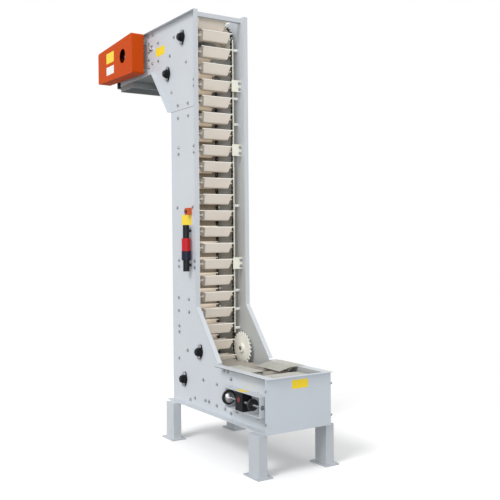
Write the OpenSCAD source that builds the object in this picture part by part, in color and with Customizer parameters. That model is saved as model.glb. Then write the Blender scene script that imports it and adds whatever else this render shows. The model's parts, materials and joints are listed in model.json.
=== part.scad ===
// Bucket elevator with a level infeed, an upright lift and a level discharge arm.
// Two roller chains carry buckets that hang on their own pins round the loop.
// X runs along the machine towards the infeed hopper, Z is up, the drive is on the -Y side.

/* [Conveyor loop] */
// Pitch of the roller chain
chain_pitch = 38.1; // [36:0.1:40]
// Teeth on every conveyor wheel
wheel_teeth = 24; // [24:4:24]
// Links on the upright strands
rise_links = 77; // [61:4:93]
// Links on the top carrying strand
head_links = 26; // [22:4:34]
// Links on the bottom carrying strand
boot_links = 21; // [17:4:25]
// Links that fit between the two upright strands
gap_links = 8; // [8:4:8]
// Links from one bucket to the next
bucket_links = 4; // [4:4:8]
// Links before the first bucket
lead_links = 1; // [1:1:1]
// Height of the lower front wheel's centre above the floor
lower_wheel_z = 860; // [855:1:900]
// Distance of the carrying strand from the back of the tower
carry_x = 396.8; // [390:0.1:402]
// Middle of each chain from the middle of the machine
chain_y = 200; // [196:1:206]

/* [Chain] */
// Width of the roller
roller_width = 12.7; // [10:0.1:14]
// Diameter of the roller
roller_d = 22.2; // [20:0.1:23]
// Height of the side plates at their round ends
plate_height = 20; // [16:0.5:21]
// Height of the side plates at their waist
plate_waist = 15; // [13:0.5:15.5]
// Thickness of one side plate
plate_thick = 2.5; // [2:0.1:3]
// Gap between inner and outer side plates
plate_gap = 0.3; // [0.2:0.05:0.5]
// Outside diameter of the hollow pins
hollow_pin_d = 13; // [12:0.5:15]
// Diameter of the pins that carry a bucket
bucket_pin_d = 8; // [6:0.5:9]
// Radial clearance of a bucket pin in its hollow pin
pin_clearance = 0.05; // [0.02:0.01:0.1]
// Diameter of the hole where two strands of chain meet
open_pivot_d = 13; // [12.5:0.5:14]

/* [Wheels] */
// Thickness of a toothed wheel
wheel_thick = 10; // [8:0.5:11]
// Height of the tooth tips above the pitch circle
tooth_height = 10; // [8:0.5:11]
// Clearance between a roller and its tooth gap
seat_clearance = 0.5; // [0.3:0.1:1]
// Slope of the tooth flanks
flank_angle = 20; // [16:1:22]
// Diameter of the wheel hubs
hub_d = 84; // [70:1:90]
// Diameter of the conveyor shafts
shaft_d = 40; // [35:1:45]
// Radial clearance between a shaft and its bearing
shaft_clearance = 0.05; // [0.02:0.01:0.1]

/* [Buckets] */
// Length of a bucket along the chain at its rim
bucket_rim_length = 144; // [136:1:146]
// Width of a bucket across the machine at its rim
bucket_rim_width = 296; // [280:1:300]
// Width of a bucket across the machine at its bottom
bucket_bottom_width = 262; // [250:1:270]
// Width of the rolled lip, with the tabs at its ends
bucket_lip_width = 332; // [310:1:336]
// Height of the rim above the bucket pin
bucket_rim_z = 39; // [34:1:42]
// Depth of the bottom below the bucket pin
bucket_bottom_z = 51; // [44:1:52]
// Flat length of the bottom
bucket_flat = 32; // [24:1:34]
// Radius of the bottom corners
bucket_corner_r = 20; // [12:1:22]
// Wall thickness of the bucket
bucket_wall = 4; // [3:0.5:5]
// Diameter of the rolled lip
bucket_lip_d = 10; // [8:1:12]
// Diameter of the boss round a bucket pin
bucket_boss_d = 26; // [20:1:30]

/* [Sheet casing] */
// Width between the outer faces of the side sheets
casing_width = 500; // [490:1:520]
// Thickness of the sheets
sheet = 4; // [3:0.5:5]
// Depth of the tower from back to front
tower_depth = 540; // [535:1:560]
// Top of the casing above the upper wheels' centres
head_above = 194.3; // [190:0.1:260]
// Seam between tower and head below the upper wheels' centres
seam_below = 673.7; // [620:0.1:760]
// Height of the underside of the boot
boot_bottom_z = 345; // [330:1:352]
// Hopper rim below the lower front wheels' centres
rim_below = 69; // [62:1:76]
// Distance of the front plate from the tail shaft
boot_beyond = 371.15; // [340:0.05:420]
// Length of the sloped front edge along the machine
slope_run = 381; // [350:1:400]
// Height of the sloped front edge
slope_rise = 465; // [430:1:480]
// Width of the flange on the tower front and top
tower_flange = 40; // [30:1:45]
// Width of the flange round the boot and hopper
boot_flange = 75; // [60:1:80]
// Depth of the rim lip on the front plate
front_lip = 36; // [25:1:45]
// Distance of the head's end from the head shaft
head_beyond = 467.25; // [440:0.05:540]
// Underside of the head below the head shaft
head_below = 221.7; // [216:0.1:230]
// Distance from the tower back to the slanted part of the head's underside
head_slant_x = 372; // [340:1:400]
// Length of the outlet opening in the head's underside
outlet_length = 330; // [300:1:350]
// Depth of the outlet chute below the head
outlet_drop = 60; // [40:1:90]

/* [Legs] */
// Distance of the rear legs from the back of the tower
rear_leg_x = 160; // [150:1:200]
// Distance of the front legs from the front plate
front_leg_set = 98; // [84:1:150]
// Middle of each leg from the middle of the machine
leg_y = 335; // [332:1:345]
// Post size along the machine
post_length = 150; // [120:1:160]
// Post size across the machine
post_width = 80; // [60:1:90]
// Wall thickness of a post
post_wall = 5; // [4:0.5:8]
// Base plate size along the machine
base_length = 215; // [200:1:230]
// Base plate size across the machine
base_width = 142; // [130:1:150]
// Thickness of base and cap plates
base_thick = 12; // [8:1:16]
// Distance between the holes of a base plate along the machine
base_hole_x = 175; // [170:1:180]
// Distance between the holes of a base plate across the machine
base_hole_y = 106; // [104:1:110]
// Diameter of the anchor holes
base_hole_d = 18; // [14:1:20]

/* [Drive] */
// Right end of the cover from the head shaft
cover_beyond_head = 239.75; // [220:0.05:250]
// Left end of the cover from the motor shaft
cover_beyond_motor = 105; // [95:1:130]
// Depth of the cover across the machine
cover_depth = 130; // [120:1:140]
// Height of the cover at its tall end
cover_tall = 404; // [390:1:410]
// Height of the cover at its short end
cover_short = 334; // [320:1:350]
// Underside of the cover at its tall end below the head shaft
cover_below = 211.7; // [200:0.1:215]
// Radius of the cover's corners seen from the side
cover_edge_r = 20; // [12:1:26]
// Wall of the cover
cover_wall = 2.5; // [2:0.5:4]
// Diameter of the hole in the cover
cover_hole_d = 146; // [130:1:150]
// Gap between the casing and the back of the cover
cover_gap = 50; // [46:1:60]
// Pitch diameter of the driven drive wheel
driven_wheel_d = 230; // [220:2:240]
// Pitch diameter of the motor's drive wheel
motor_wheel_d = 115; // [110:1:120]
// Thickness of the plate that carries the gearbox
motor_plate = 8; // [6:1:14]

/* [Take-up] */
// Length of the take-up frame along the machine
takeup_length = 530; // [510:1:550]
// Distance that the tail shaft can be moved out
takeup_travel = 30; // [20:1:40]
// Depth of the take-up frame across the machine
takeup_depth = 90; // [80:1:100]
// Height of the take-up frame over its shelves
takeup_height = 168; // [160:1:180]
// Diameter of the take-up screw
screw_d = 20; // [16:1:22]

/* [Hidden] */
$fn = 48;
cut = 1;
seat_gap = 0.3;
half = casing_width / 2;
inner_half = half - sheet;
pitch_r = chain_pitch / (2 * sin(180 / wheel_teeth));
tip_r = pitch_r + tooth_height;
quarter = wheel_teeth / 4;

// Strands: upright x places and the heights of the level runs
return_x = carry_x - gap_links * chain_pitch;
upper_wheel_z = lower_wheel_z + rise_links * chain_pitch;
top_z = upper_wheel_z + pitch_r;
top_return_z = upper_wheel_z - pitch_r;
bottom_z = lower_wheel_z - pitch_r;
bottom_return_z = lower_wheel_z - 3 * pitch_r;
upper_front = [carry_x - pitch_r, upper_wheel_z];
upper_back = [return_x - pitch_r, upper_wheel_z - 2 * pitch_r];
lower_front = [carry_x + pitch_r, lower_wheel_z];
lower_back = [return_x + pitch_r, lower_wheel_z - 2 * pitch_r];
head_axis = [upper_front[0] - head_links * chain_pitch, upper_wheel_z];
tail_axis = [lower_front[0] + boot_links * chain_pitch, lower_wheel_z - 2 * pitch_r];

// Link numbers at which each part of the loop begins
j_lift = 0;
j_upper_front = j_lift + rise_links;
j_top = j_upper_front + quarter;
j_head = j_top + head_links;
j_top_return = j_head + 2 * quarter;
j_upper_back = j_top_return + head_links - gap_links;
j_down = j_upper_back + quarter;
j_lower_back = j_down + rise_links;
j_bottom_return = j_lower_back + quarter;
j_tail = j_bottom_return + boot_links + gap_links;
j_bottom = j_tail + 2 * quarter;
j_lower_front = j_bottom + boot_links;
j_end = j_lower_front + quarter;

// A run is [start point, direction], an arc is [centre, first angle, turn sense]
run_lift = [[carry_x, lower_wheel_z], [0, 1]];
run_top = [[upper_front[0], top_z], [-1, 0]];
run_top_return = [[head_axis[0], top_return_z], [1, 0]];
run_down = [[return_x, upper_back[1]], [0, -1]];
run_bottom_return = [[lower_back[0], bottom_return_z], [1, 0]];
run_bottom = [[tail_axis[0], bottom_z], [-1, 0]];
arc_upper_front = [upper_front, 0, 1];
arc_head = [head_axis, 90, 1];
arc_upper_back = [upper_back, 90, -1];
arc_lower_back = [lower_back, 180, 1];
arc_tail = [tail_axis, 270, 1];
arc_lower_front = [lower_front, 270, -1];

// Chain layers, measured from the middle of the roller outwards
inner_plate_y = roller_width / 2;
outer_plate_y = inner_plate_y + plate_thick + plate_gap;
chain_half = outer_plate_y + plate_thick;
bucket_pin_reach = chain_y + chain_half + 1;

// Casing and cover, placed from the shafts
tower_height = upper_wheel_z + head_above;
seam_z = upper_wheel_z - seam_below;
hopper_rim_z = lower_wheel_z - rim_below;
front_plate_x = tail_axis[0] + boot_beyond;
front_leg_x = front_plate_x - front_leg_set;
head_reach = head_beyond - head_axis[0];
head_bottom_z = upper_wheel_z - head_below;
gearbox_size = 150;
motor_x = -head_reach - motor_plate - gearbox_size / 2;
cover_right = -head_axis[0] - cover_beyond_head;
cover_length = cover_beyond_motor - motor_x - cover_right;
cover_bottom_z = upper_wheel_z - cover_below;

// Overall box, which puts the origin at the middle of the footprint
x_low = -cover_right - cover_length;
x_high = front_plate_x + front_lip;
y_low = -half - cover_gap - cover_depth;
y_high = leg_y + base_width / 2;
mid_x = (x_low + x_high) / 2;
mid_y = (y_low + y_high) / 2;

// Fixed details
slope_foot = 17;
shaft_hole_gap = 6;
boss_proud = 4;
bearing_length = 138;
bearing_width = 90;
bearing_flange = 14;
bearing_body = 34;
bearing_cap = 5;
shaft_end = half + bearing_flange + bearing_body - bearing_cap;
hub_start = chain_y - 20;
hub_end = inner_half - 8;
stub_start = hub_start - 4;
bearing_bolt_span = 100;
bearing_bolt_d = 14;
wheel_side = 3;
front_plate_width = casing_width + 2 * boot_flange;
cover_taper = cover_tall - cover_short;
cover_drop_share = 0.66;
drive_y = -half - cover_gap - cover_depth / 2;
takeup_x = tail_axis[0] + 45;
takeup_z = tail_axis[1] - 14;
takeup_plate = 4;
block_length = 110;
slot_height = shaft_d + 16;
cup_d = 126;
screw_y = half + cup_d / 2 + 3;
tail_shaft_end = screw_y - screw_d / 2 - 4;
knob_d = 98;
knob_thick = 22;
cup_ring = 16;
dome_r = 47;
dome_rise = 36;
dome_steps = 5;
cup_place = 12;
knob_back = 150;
knob_place = takeup_length - knob_back;
screw_proud = 8;
drive_pitch = 25.4;
motor_shaft_d = 30;
motor_shaft_in = -half + 50;
gearbox_drop = 300;
cover_stay_d = 24;

// Chute plates and hoods in the hopper
chute_width = 340;
chute_top_z = hopper_rim_z - 20;
chute_foot_x = tail_axis[0] + 110;
chute_foot_z = bottom_z + bucket_rim_z + 12;
hood_start_x = tail_axis[0] - 336;
hood_length = 360;
hood_outer_y = half + boot_flange - 5;
hood_ridge_y = chain_y - 5;
hood_inner_y = bucket_lip_width / 2 - 16;
shelf_inner_y = 110;
hood_foot_z = bottom_z + bucket_rim_z + 8;

tie_size = 40;
tie_place = [tower_depth - 90, tower_height - 46];

// Guides, brackets and spacer tubes on the casing
guide_clear = 14.2;
guide_depth = 8;
guide_width = 10;
lift_guide_z = [lower_wheel_z + 135, upper_wheel_z];
down_guide_z = [lower_back[1] + 40, upper_back[1] - 140];
bracket_heights = [1662, 2734, 3340];
bracket_height = 110;
bracket_thick = 8;
bracket_leg = 36;
bracket_x = carry_x + bucket_rim_length / 2 + 10;
bracket_inner_y = bucket_lip_width / 2 - 20;
bracket_hole_d = 9;
tube_heights = [1040, 1220, 1400, 2210, 2985, 3230, 3690];
tube_d = 22;
tube_bore = 9;
rail_side_gap = 1;
rail_height = 12;
rail_clear = tip_r + 10;
bearing_tilt = 8;

// Power connector column: height, length and diameter of each part
switch_x = 370;
switch_wide_d = 86;
switch_narrow_d = 60;
switch_parts = [[1902, 123, switch_narrow_d], [1784, 118, switch_wide_d - 4],
    [1698, 86, switch_wide_d], [1594, 104, switch_narrow_d]];
switch_clips = [1960, 1640];
switch_box_z = 2120;
button_d = 22;

// Curved shoes beside the lower front wheels
shoe_gap = 3;
shoe_depth = 12;

module place() translate([-mid_x, -mid_y, 0]) children();

// Turns an outline drawn in X and Z so that it is extruded along Y from y to y + width
module along_y(y, width) translate([0, y + width, 0]) rotate([90, 0, 0])
    linear_extrude(width) children();

module both_sides() {
    children();
    mirror([0, 1, 0]) children();
}

function run_pin(run, k) = run[0] + k * chain_pitch * run[1];
function arc_angle(arc, k) = arc[1] + arc[2] * k * 360 / wheel_teeth;
function arc_pin(arc, k) = arc[0] + pitch_r * [cos(arc_angle(arc, k)), sin(arc_angle(arc, k))];
function run_pins(run, links) = [for (k = [0:links]) run_pin(run, k)];
function arc_pins(arc, links) = [for (k = [0:links]) arc_pin(arc, k)];
function has_bucket(j) = (j - lead_links) % bucket_links == 0;
function heading(a, b) = atan2(b[1] - a[1], b[0] - a[0]);

// Chain. Links with an even number have outer plates, the others inner plates and rollers.
// A strand that owns its end pins carries a bucket there, the other strand is left open.

// Side plate of a link, with a waist between its two round ends
module link_outline(a, b) {
    translate(a) rotate(heading(a, b)) translate([0, -plate_waist / 2])
        square([chain_pitch, plate_waist]);
    for (p = [a, b]) translate(p) circle(d = plate_height);
}

module pin_holes(pins, first, owns_ends) {
    last = len(pins) - 1;
    for (k = [0:last])
        if (k == 0 || k == last) {
            translate(pins[k]) circle(d = owns_ends && has_bucket(first + k)
                ? bucket_pin_d + 2 * pin_clearance : open_pivot_d);
        } else if (has_bucket(first + k))
            translate(pins[k]) circle(d = bucket_pin_d + 2 * pin_clearance);
}

module chain_layer(y, width, pins, first, owns_ends)
    along_y(y, width) difference() {
        children();
        pin_holes(pins, first, owns_ends);
    }

// One strand of chain through the given pins, centred at y = 0
module chain_strand(pins, first, owns_ends) {
    last = len(pins) - 1;
    inner = [for (k = [0:last - 1]) if ((first + k) % 2 == 1) k];
    outer = [for (k = [0:last - 1]) if ((first + k) % 2 == 0) k];
    rollers = concat([for (k = inner) k], [for (k = inner) k + 1]);
    chain_layer(-roller_width / 2, roller_width, pins, first, owns_ends)
        for (k = rollers) translate(pins[k]) circle(d = roller_d);
    for (side = [0, 1]) mirror([0, side, 0]) {
        chain_layer(inner_plate_y, plate_thick, pins, first, owns_ends)
            for (k = inner) link_outline(pins[k], pins[k + 1]);
        chain_layer(outer_plate_y, plate_thick, pins, first, owns_ends)
            for (k = outer) link_outline(pins[k], pins[k + 1]);
        chain_layer(inner_plate_y + plate_thick, plate_gap, pins, first, owns_ends)
            for (k = [1:last - 1]) translate(pins[k]) circle(d = hollow_pin_d);
    }
}

module chain_pair(pins, first, owns_ends) color([0.12, 0.12, 0.12]) place()
    for (side = [-1, 1]) translate([0, side * chain_y, 0])
        chain_strand(pins, first, owns_ends);

module lift_chain() chain_pair(run_pins(run_lift, rise_links), j_lift, true);
module top_chain() chain_pair(run_pins(run_top, head_links), j_top, true);
module top_return_chain()
    chain_pair(run_pins(run_top_return, head_links - gap_links), j_top_return, true);
module down_chain() chain_pair(run_pins(run_down, rise_links), j_down, true);
module bottom_return_chain()
    chain_pair(run_pins(run_bottom_return, boot_links + gap_links), j_bottom_return, true);
module bottom_chain() chain_pair(run_pins(run_bottom, boot_links), j_bottom, true);
module head_chain() chain_pair(arc_pins(arc_head, 2 * quarter), j_head, false);
module tail_chain() chain_pair(arc_pins(arc_tail, 2 * quarter), j_tail, false);

// Buckets hang upright on their pins

corner_x = bucket_flat / 2;
corner_z = -bucket_bottom_z + bucket_corner_r;
side_vector = [bucket_rim_length / 2 - corner_x, bucket_rim_z - corner_z];
side_angle = atan2(side_vector[1], side_vector[0]) - acos(bucket_corner_r / norm(side_vector));
side_normal = [cos(side_angle), sin(side_angle)];
side_up = [-side_normal[1], side_normal[0]];

// Side profile of the bucket, drawn inside its outer face by the inset
module bucket_profile(inset, rise) {
    r = bucket_corner_r - inset;
    foot = [corner_x, corner_z] + r * side_normal;
    rim = [bucket_rim_length / 2, bucket_rim_z] - inset * side_normal + rise * side_up;
    polygon([[-rim[0], rim[1]], [-foot[0], foot[1]], [-corner_x, corner_z - r],
        [corner_x, corner_z - r], foot, rim]);
    for (side = [-1, 1]) translate([side * corner_x, corner_z]) circle(r);
}

// Front profile of the bucket, a trapezoid in Y and Z
module bucket_front(inset, rise) {
    slant = (bucket_rim_width - bucket_bottom_width) / 2 / (bucket_rim_z + bucket_bottom_z);
    low = -bucket_bottom_z - cut;
    high = bucket_rim_z + rise;
    half_low = bucket_bottom_width / 2 - slant * cut - inset;
    half_high = bucket_rim_width / 2 + slant * rise - inset;
    polygon([[-half_low, low], [half_low, low], [half_high, high], [-half_high, high]]);
}

module bucket_block(inset, rise) intersection() {
    along_y(-bucket_rim_width, 2 * bucket_rim_width) bucket_profile(inset, rise);
    translate([-bucket_rim_length, 0, 0]) rotate([90, 0, 90])
        linear_extrude(2 * bucket_rim_length) bucket_front(inset, rise);
}

module bucket() {
    lip_x = bucket_rim_length / 2 - bucket_lip_d / 4;
    boss_y = bucket_bottom_width / 2;
    shoulder_y = chain_y - chain_half - seat_gap;
    difference() {
        union() {
            bucket_block(0, 0);
            translate([lip_x, 0, bucket_rim_z]) rotate([90, 0, 0])
                cylinder(h = bucket_lip_width, d = bucket_lip_d, center = true);
            both_sides() translate([0, boss_y, 0]) rotate([-90, 0, 0])
                cylinder(h = bucket_rim_width / 2 - boss_y + boss_proud, d = bucket_boss_d);
        }
        bucket_block(bucket_wall, bucket_lip_d);
    }
    both_sides() {
        translate([0, bucket_rim_width / 2, 0]) rotate([-90, 0, 0])
            cylinder(h = shoulder_y - bucket_rim_width / 2, d = hollow_pin_d);
        translate([0, bucket_rim_width / 2, 0]) rotate([-90, 0, 0])
            cylinder(h = bucket_pin_reach - bucket_rim_width / 2, d = bucket_pin_d);
    }
}

module buckets_at(points) color([0.88, 0.84, 0.79]) place()
    for (p = points) translate([p[0], 0, p[1]]) bucket();

function run_bucket_pins(run, first, links) =
    [for (k = [0:links]) if (has_bucket(first + k)) run_pin(run, k)];
function arc_bucket_pins(arc, first, links) =
    [for (k = [1:links - 1]) if (has_bucket(first + k)) arc_pin(arc, k)];

module lift_buckets() buckets_at(run_bucket_pins(run_lift, j_lift, rise_links));
module top_buckets() buckets_at(run_bucket_pins(run_top, j_top, head_links));
module top_return_buckets()
    buckets_at(run_bucket_pins(run_top_return, j_top_return, head_links - gap_links));
module down_buckets() buckets_at(run_bucket_pins(run_down, j_down, rise_links));
module bottom_return_buckets()
    buckets_at(run_bucket_pins(run_bottom_return, j_bottom_return, boot_links + gap_links));
module bottom_buckets() buckets_at(run_bucket_pins(run_bottom, j_bottom, boot_links));
module upper_front_bucket() buckets_at(arc_bucket_pins(arc_upper_front, j_upper_front, quarter));
module upper_back_bucket() buckets_at(arc_bucket_pins(arc_upper_back, j_upper_back, quarter));
module lower_front_bucket() buckets_at(arc_bucket_pins(arc_lower_front, j_lower_front, quarter));
module lower_back_bucket() buckets_at(arc_bucket_pins(arc_lower_back, j_lower_back, quarter));
head_bucket_pins = arc_bucket_pins(arc_head, j_head, 2 * quarter);
tail_bucket_pins = arc_bucket_pins(arc_tail, j_tail, 2 * quarter);
module head_first_bucket() buckets_at([head_bucket_pins[0]]);
module head_second_bucket()
    buckets_at([for (k = [1:len(head_bucket_pins) - 1]) head_bucket_pins[k]]);
module tail_first_bucket() buckets_at([tail_bucket_pins[0]]);
module tail_second_bucket()
    buckets_at([for (k = [1:len(tail_bucket_pins) - 1]) tail_bucket_pins[k]]);

// Toothed wheels

// Outline with one tooth between each pair of roller seats, seats at whole tooth angles
module wheel_outline(bore) {
    seat_r = roller_d / 2 + seat_clearance;
    step = 360 / wheel_teeth;
    flank_out = tooth_height * tan(flank_angle) + seat_r / cos(flank_angle);
    tip_half = step / 2 - asin(flank_out / tip_r);
    valley_r = pitch_r - seat_r * sin(flank_angle);
    valley_half = step / 2 - asin(seat_r * cos(flank_angle) / valley_r);
    difference() {
        polygon([for (t = [0:wheel_teeth - 1]) for (c = [[-valley_half, valley_r],
            [-tip_half, tip_r], [tip_half, tip_r], [valley_half, valley_r]])
            c[1] * [cos((t + 0.5) * step + c[0]), sin((t + 0.5) * step + c[0])]]);
        for (t = [0:wheel_teeth - 1]) rotate(t * step) translate([pitch_r, 0]) circle(seat_r);
        circle(d = bore);
    }
}

// A wheel on the far chain with its hub, both on the same bore
module wheel_at(centre) translate([centre[0], 0, centre[1]]) {
    along_y(chain_y - wheel_thick / 2, wheel_thick) wheel_outline(shaft_d);
    for (y = [[hub_start, chain_y - wheel_thick / 2], [chain_y + wheel_thick / 2, hub_end]])
        along_y(y[0], y[1] - y[0]) difference() {
            circle(d = hub_d);
            circle(d = shaft_d);
        }
}

// Corner wheels turn on short stub shafts so that the buckets pass between them
module corner_wheels(centre, arc, first) {
    color([0.85, 0.84, 0.8]) place() both_sides() {
        wheel_at(centre);
        translate([centre[0], stub_start, centre[1]]) rotate([-90, 0, 0])
            cylinder(h = shaft_end - stub_start, d = shaft_d);
    }
    chain_pair(arc_pins(arc, quarter), first, false);
}

module upper_front_wheels() corner_wheels(upper_front, arc_upper_front, j_upper_front);
module upper_back_wheels() corner_wheels(upper_back, arc_upper_back, j_upper_back);
module lower_front_wheels() corner_wheels(lower_front, arc_lower_front, j_lower_front);
module lower_back_wheels() corner_wheels(lower_back, arc_lower_back, j_lower_back);

module head_wheels() color([0.85, 0.84, 0.8]) place()
    both_sides() wheel_at(head_axis);
module tail_wheels() color([0.85, 0.84, 0.8]) place()
    both_sides() wheel_at(tail_axis);

module head_shaft() color([0.7, 0.7, 0.72]) place()
    translate([head_axis[0], drive_y - cover_depth / 4, head_axis[1]]) rotate([-90, 0, 0])
        cylinder(h = shaft_end - drive_y + cover_depth / 4, d = shaft_d);

module tail_shaft() color([0.7, 0.7, 0.72]) place()
    translate([tail_axis[0], 0, tail_axis[1]]) rotate([90, 0, 0])
        cylinder(h = 2 * tail_shaft_end, d = shaft_d, center = true);

// Drive wheels behind the cover

module drive_outline(d, bore) {
    teeth = round(PI * d / drive_pitch);
    difference() {
        circle(d = d + drive_pitch / 3);
        for (t = [0:teeth - 1]) rotate(t * 360 / teeth) translate([d / 2 + drive_pitch / 8, 0])
            circle(d = drive_pitch * 0.6);
        circle(d = bore);
    }
}

module drive_wheel() color([0.25, 0.25, 0.27]) place()
    translate([head_axis[0], 0, head_axis[1]]) {
        along_y(drive_y - wheel_thick / 2, wheel_thick) drive_outline(driven_wheel_d, shaft_d);
        along_y(drive_y + wheel_thick / 2, 2 * wheel_thick) difference() {
            circle(d = hub_d);
            circle(d = shaft_d);
        }
    }

module motor_wheel() color([0.25, 0.25, 0.27]) place()
    translate([motor_x, 0, head_axis[1]]) {
        along_y(drive_y - wheel_thick / 2, wheel_thick) drive_outline(motor_wheel_d, cut);
        translate([0, drive_y - wheel_thick, 0]) rotate([-90, 0, 0])
            cylinder(h = motor_shaft_in - drive_y + wheel_thick, d = motor_shaft_d);
    }

// Sheet casing

slope_bottom = [tower_depth + slope_run, hopper_rim_z + slope_foot];
slope_top = [tower_depth, slope_bottom[1] + slope_rise];

seam_front = [tower_depth, seam_z];
seam_back = [0, seam_z];
slant_end = [-head_slant_x, head_bottom_z];

// Side sheet of boot and tower, up to the level seam that it shares with the head sheet
module tower_outline() polygon([[0, boot_bottom_z], [front_plate_x, boot_bottom_z],
    [front_plate_x, hopper_rim_z], [slope_bottom[0], hopper_rim_z], slope_bottom, slope_top,
    seam_front, seam_back]);

// Side sheet of the head, which reaches down over the top of the tower
module head_outline() polygon([seam_front, [tower_depth, tower_height],
    [-head_reach, tower_height], [-head_reach, head_bottom_z], slant_end, seam_back]);

module wheel_holes(centres, d) for (c = centres) translate(c) circle(d = d);

// Flange that stands outwards from the side sheet along one straight edge, inside the outline.
// The lap lengthens it past its second end, where two flanges meet in an inner corner.
module edge_flange(a, b, width, lap = 0) {
    along = (b - a) / norm(b - a);
    inward = sheet * [along[1], -along[0]];
    along_y(inner_half, sheet + width)
        polygon([a, b + lap * along, b + lap * along + inward, a + inward]);
}

module side_sheet() {
    along_y(inner_half, sheet) difference() {
        tower_outline();
        wheel_holes([lower_front, lower_back], shaft_d + 2 * shaft_hole_gap);
        takeup_slot();
    }
    edge_flange(seam_front, slope_top, tower_flange, sheet);
    edge_flange(slope_top, slope_bottom, tower_flange);
    edge_flange([slope_bottom[0], hopper_rim_z], [front_plate_x, hopper_rim_z], boot_flange);
    edge_flange([front_plate_x, boot_bottom_z], [0, boot_bottom_z], boot_flange);
    edge_flange([front_plate_x, hopper_rim_z], [front_plate_x, boot_bottom_z], boot_flange);
}

// Long hole for the tail shaft, with room for its take-up travel
module takeup_slot() {
    translate([tail_axis[0] - slot_height / 2, tail_axis[1] - slot_height / 2])
        square([takeup_travel + slot_height, slot_height]);
}

module near_side_sheet() color([0.85, 0.87, 0.9]) place() mirror([0, 1, 0]) side_sheet();
module far_side_sheet() color([0.85, 0.87, 0.9]) place() side_sheet();

module head_sheet() {
    along_y(inner_half, sheet) difference() {
        head_outline();
        wheel_holes([upper_front, upper_back, head_axis], shaft_d + 2 * shaft_hole_gap);
    }
    edge_flange([-head_reach, tower_height], [tower_depth, tower_height], tower_flange);
    edge_flange([tower_depth, tower_height], seam_front, tower_flange);
    edge_flange(seam_back, slant_end, tower_flange);
}

module near_head_sheet() color([0.85, 0.87, 0.9]) place() mirror([0, 1, 0]) head_sheet();
module far_head_sheet() color([0.85, 0.87, 0.9]) place() head_sheet();

inner_width = casing_width - 2 * sheet;

module tower_back_sheet() color([0.83, 0.85, 0.88]) place()
    translate([0, -inner_half, boot_bottom_z + sheet])
        cube([sheet, inner_width, seam_z - boot_bottom_z - sheet]);

module head_underside_sheet() color([0.5, 0.52, 0.52]) place()
    along_y(-inner_half, inner_width) polygon([[-head_slant_x, head_bottom_z],
        [0, seam_z], [sheet, seam_z], [sheet, seam_z + 8], [-head_slant_x + 1, head_bottom_z + sheet],
        [-head_reach + outlet_length, head_bottom_z + sheet],
        [-head_reach + outlet_length, head_bottom_z]]);

module head_end_sheet() color([0.83, 0.85, 0.88]) place()
    translate([-head_reach, -inner_half, head_bottom_z])
        cube([sheet, inner_width, tower_height - head_bottom_z]);

module outlet_chute() color([0.6, 0.62, 0.64]) place() {
    left = -head_reach + sheet;
    right = -head_reach + outlet_length;
    translate([left, -inner_half, head_bottom_z - outlet_drop]) difference() {
        cube([right - left, inner_width, outlet_drop]);
        translate([sheet, sheet, -cut])
            cube([right - left - 2 * sheet, inner_width - 2 * sheet, outlet_drop + 2 * cut]);
    }
}

module boot_floor() color([0.83, 0.85, 0.88]) place()
    translate([0, -inner_half, boot_bottom_z])
        cube([front_plate_x, inner_width, sheet]);

module hopper_front_plate() color([0.8, 0.83, 0.87]) place() {
    translate([front_plate_x, -front_plate_width / 2, boot_bottom_z])
        cube([sheet, front_plate_width, hopper_rim_z - boot_bottom_z]);
    translate([front_plate_x, -front_plate_width / 2, hopper_rim_z - sheet])
        cube([front_lip, front_plate_width, sheet]);
}

// Gently sloping plate at the front that leads the product onto the buckets
module hopper_chute_plates() color([0.72, 0.73, 0.72]) place()
    along_y(-chute_width / 2, chute_width) polygon([[front_plate_x - seat_gap, chute_top_z],
        [front_plate_x - seat_gap, chute_top_z - sheet], [chute_foot_x, chute_foot_z - sheet],
        [chute_foot_x, chute_foot_z]]);

// Hoods over both chains: the far one lies on the rim flange and slopes down to the buckets,
// the near one is a level shelf with its inner edge folded down
module hood_along_x() translate([hood_start_x, 0, 0]) rotate([90, 0, 90])
    linear_extrude(hood_length) children();

module chain_hood() color([0.72, 0.73, 0.72]) place() {
    shelf_z = hopper_rim_z - sheet;
    hood_along_x() polygon([[hood_outer_y, hopper_rim_z], [hood_outer_y, hopper_rim_z + sheet],
        [hood_ridge_y, hopper_rim_z + sheet], [hood_inner_y, hood_foot_z + sheet],
        [hood_inner_y, hood_foot_z], [hood_ridge_y, hopper_rim_z]]);
    mirror([0, 1, 0]) hood_along_x() polygon([[inner_half - seat_gap, shelf_z],
        [shelf_inner_y, shelf_z], [shelf_inner_y, hood_foot_z],
        [shelf_inner_y + sheet, hood_foot_z], [shelf_inner_y + sheet, shelf_z - sheet],
        [inner_half - seat_gap, shelf_z - sheet]]);
}

// Bar that ties both side sheets together at the top of the tower
module cross_tie() color([0.85, 0.87, 0.9]) place()
    translate([tie_place[0], -inner_half, tie_place[1]])
        cube([tie_size, inner_width, tie_size]);

// Legs: a square tube on a drilled base plate, with a cap plate under the boot flange
module leg() {
    top = boot_bottom_z;
    difference() {
        translate([-base_length / 2, -base_width / 2, 0])
            cube([base_length, base_width, base_thick]);
        for (x = [-1, 1], y = [-1, 1])
            translate([x * base_hole_x / 2, y * base_hole_y / 2, -cut])
                cylinder(h = base_thick + 2 * cut, d = base_hole_d);
    }
    translate([0, 0, base_thick]) linear_extrude(top - 2 * base_thick) difference() {
        square([post_length, post_width], center = true);
        square([post_length - 2 * post_wall, post_width - 2 * post_wall], center = true);
    }
    translate([-post_length / 2, -post_width / 2, top - base_thick])
        cube([post_length, post_width, base_thick]);
}

module leg_pair(x) color([0.88, 0.9, 0.92]) place()
    for (side = [-1, 1]) translate([x, side * leg_y, 0]) leg();
module rear_legs() leg_pair(rear_leg_x);
module front_legs() leg_pair(front_leg_x);

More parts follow.
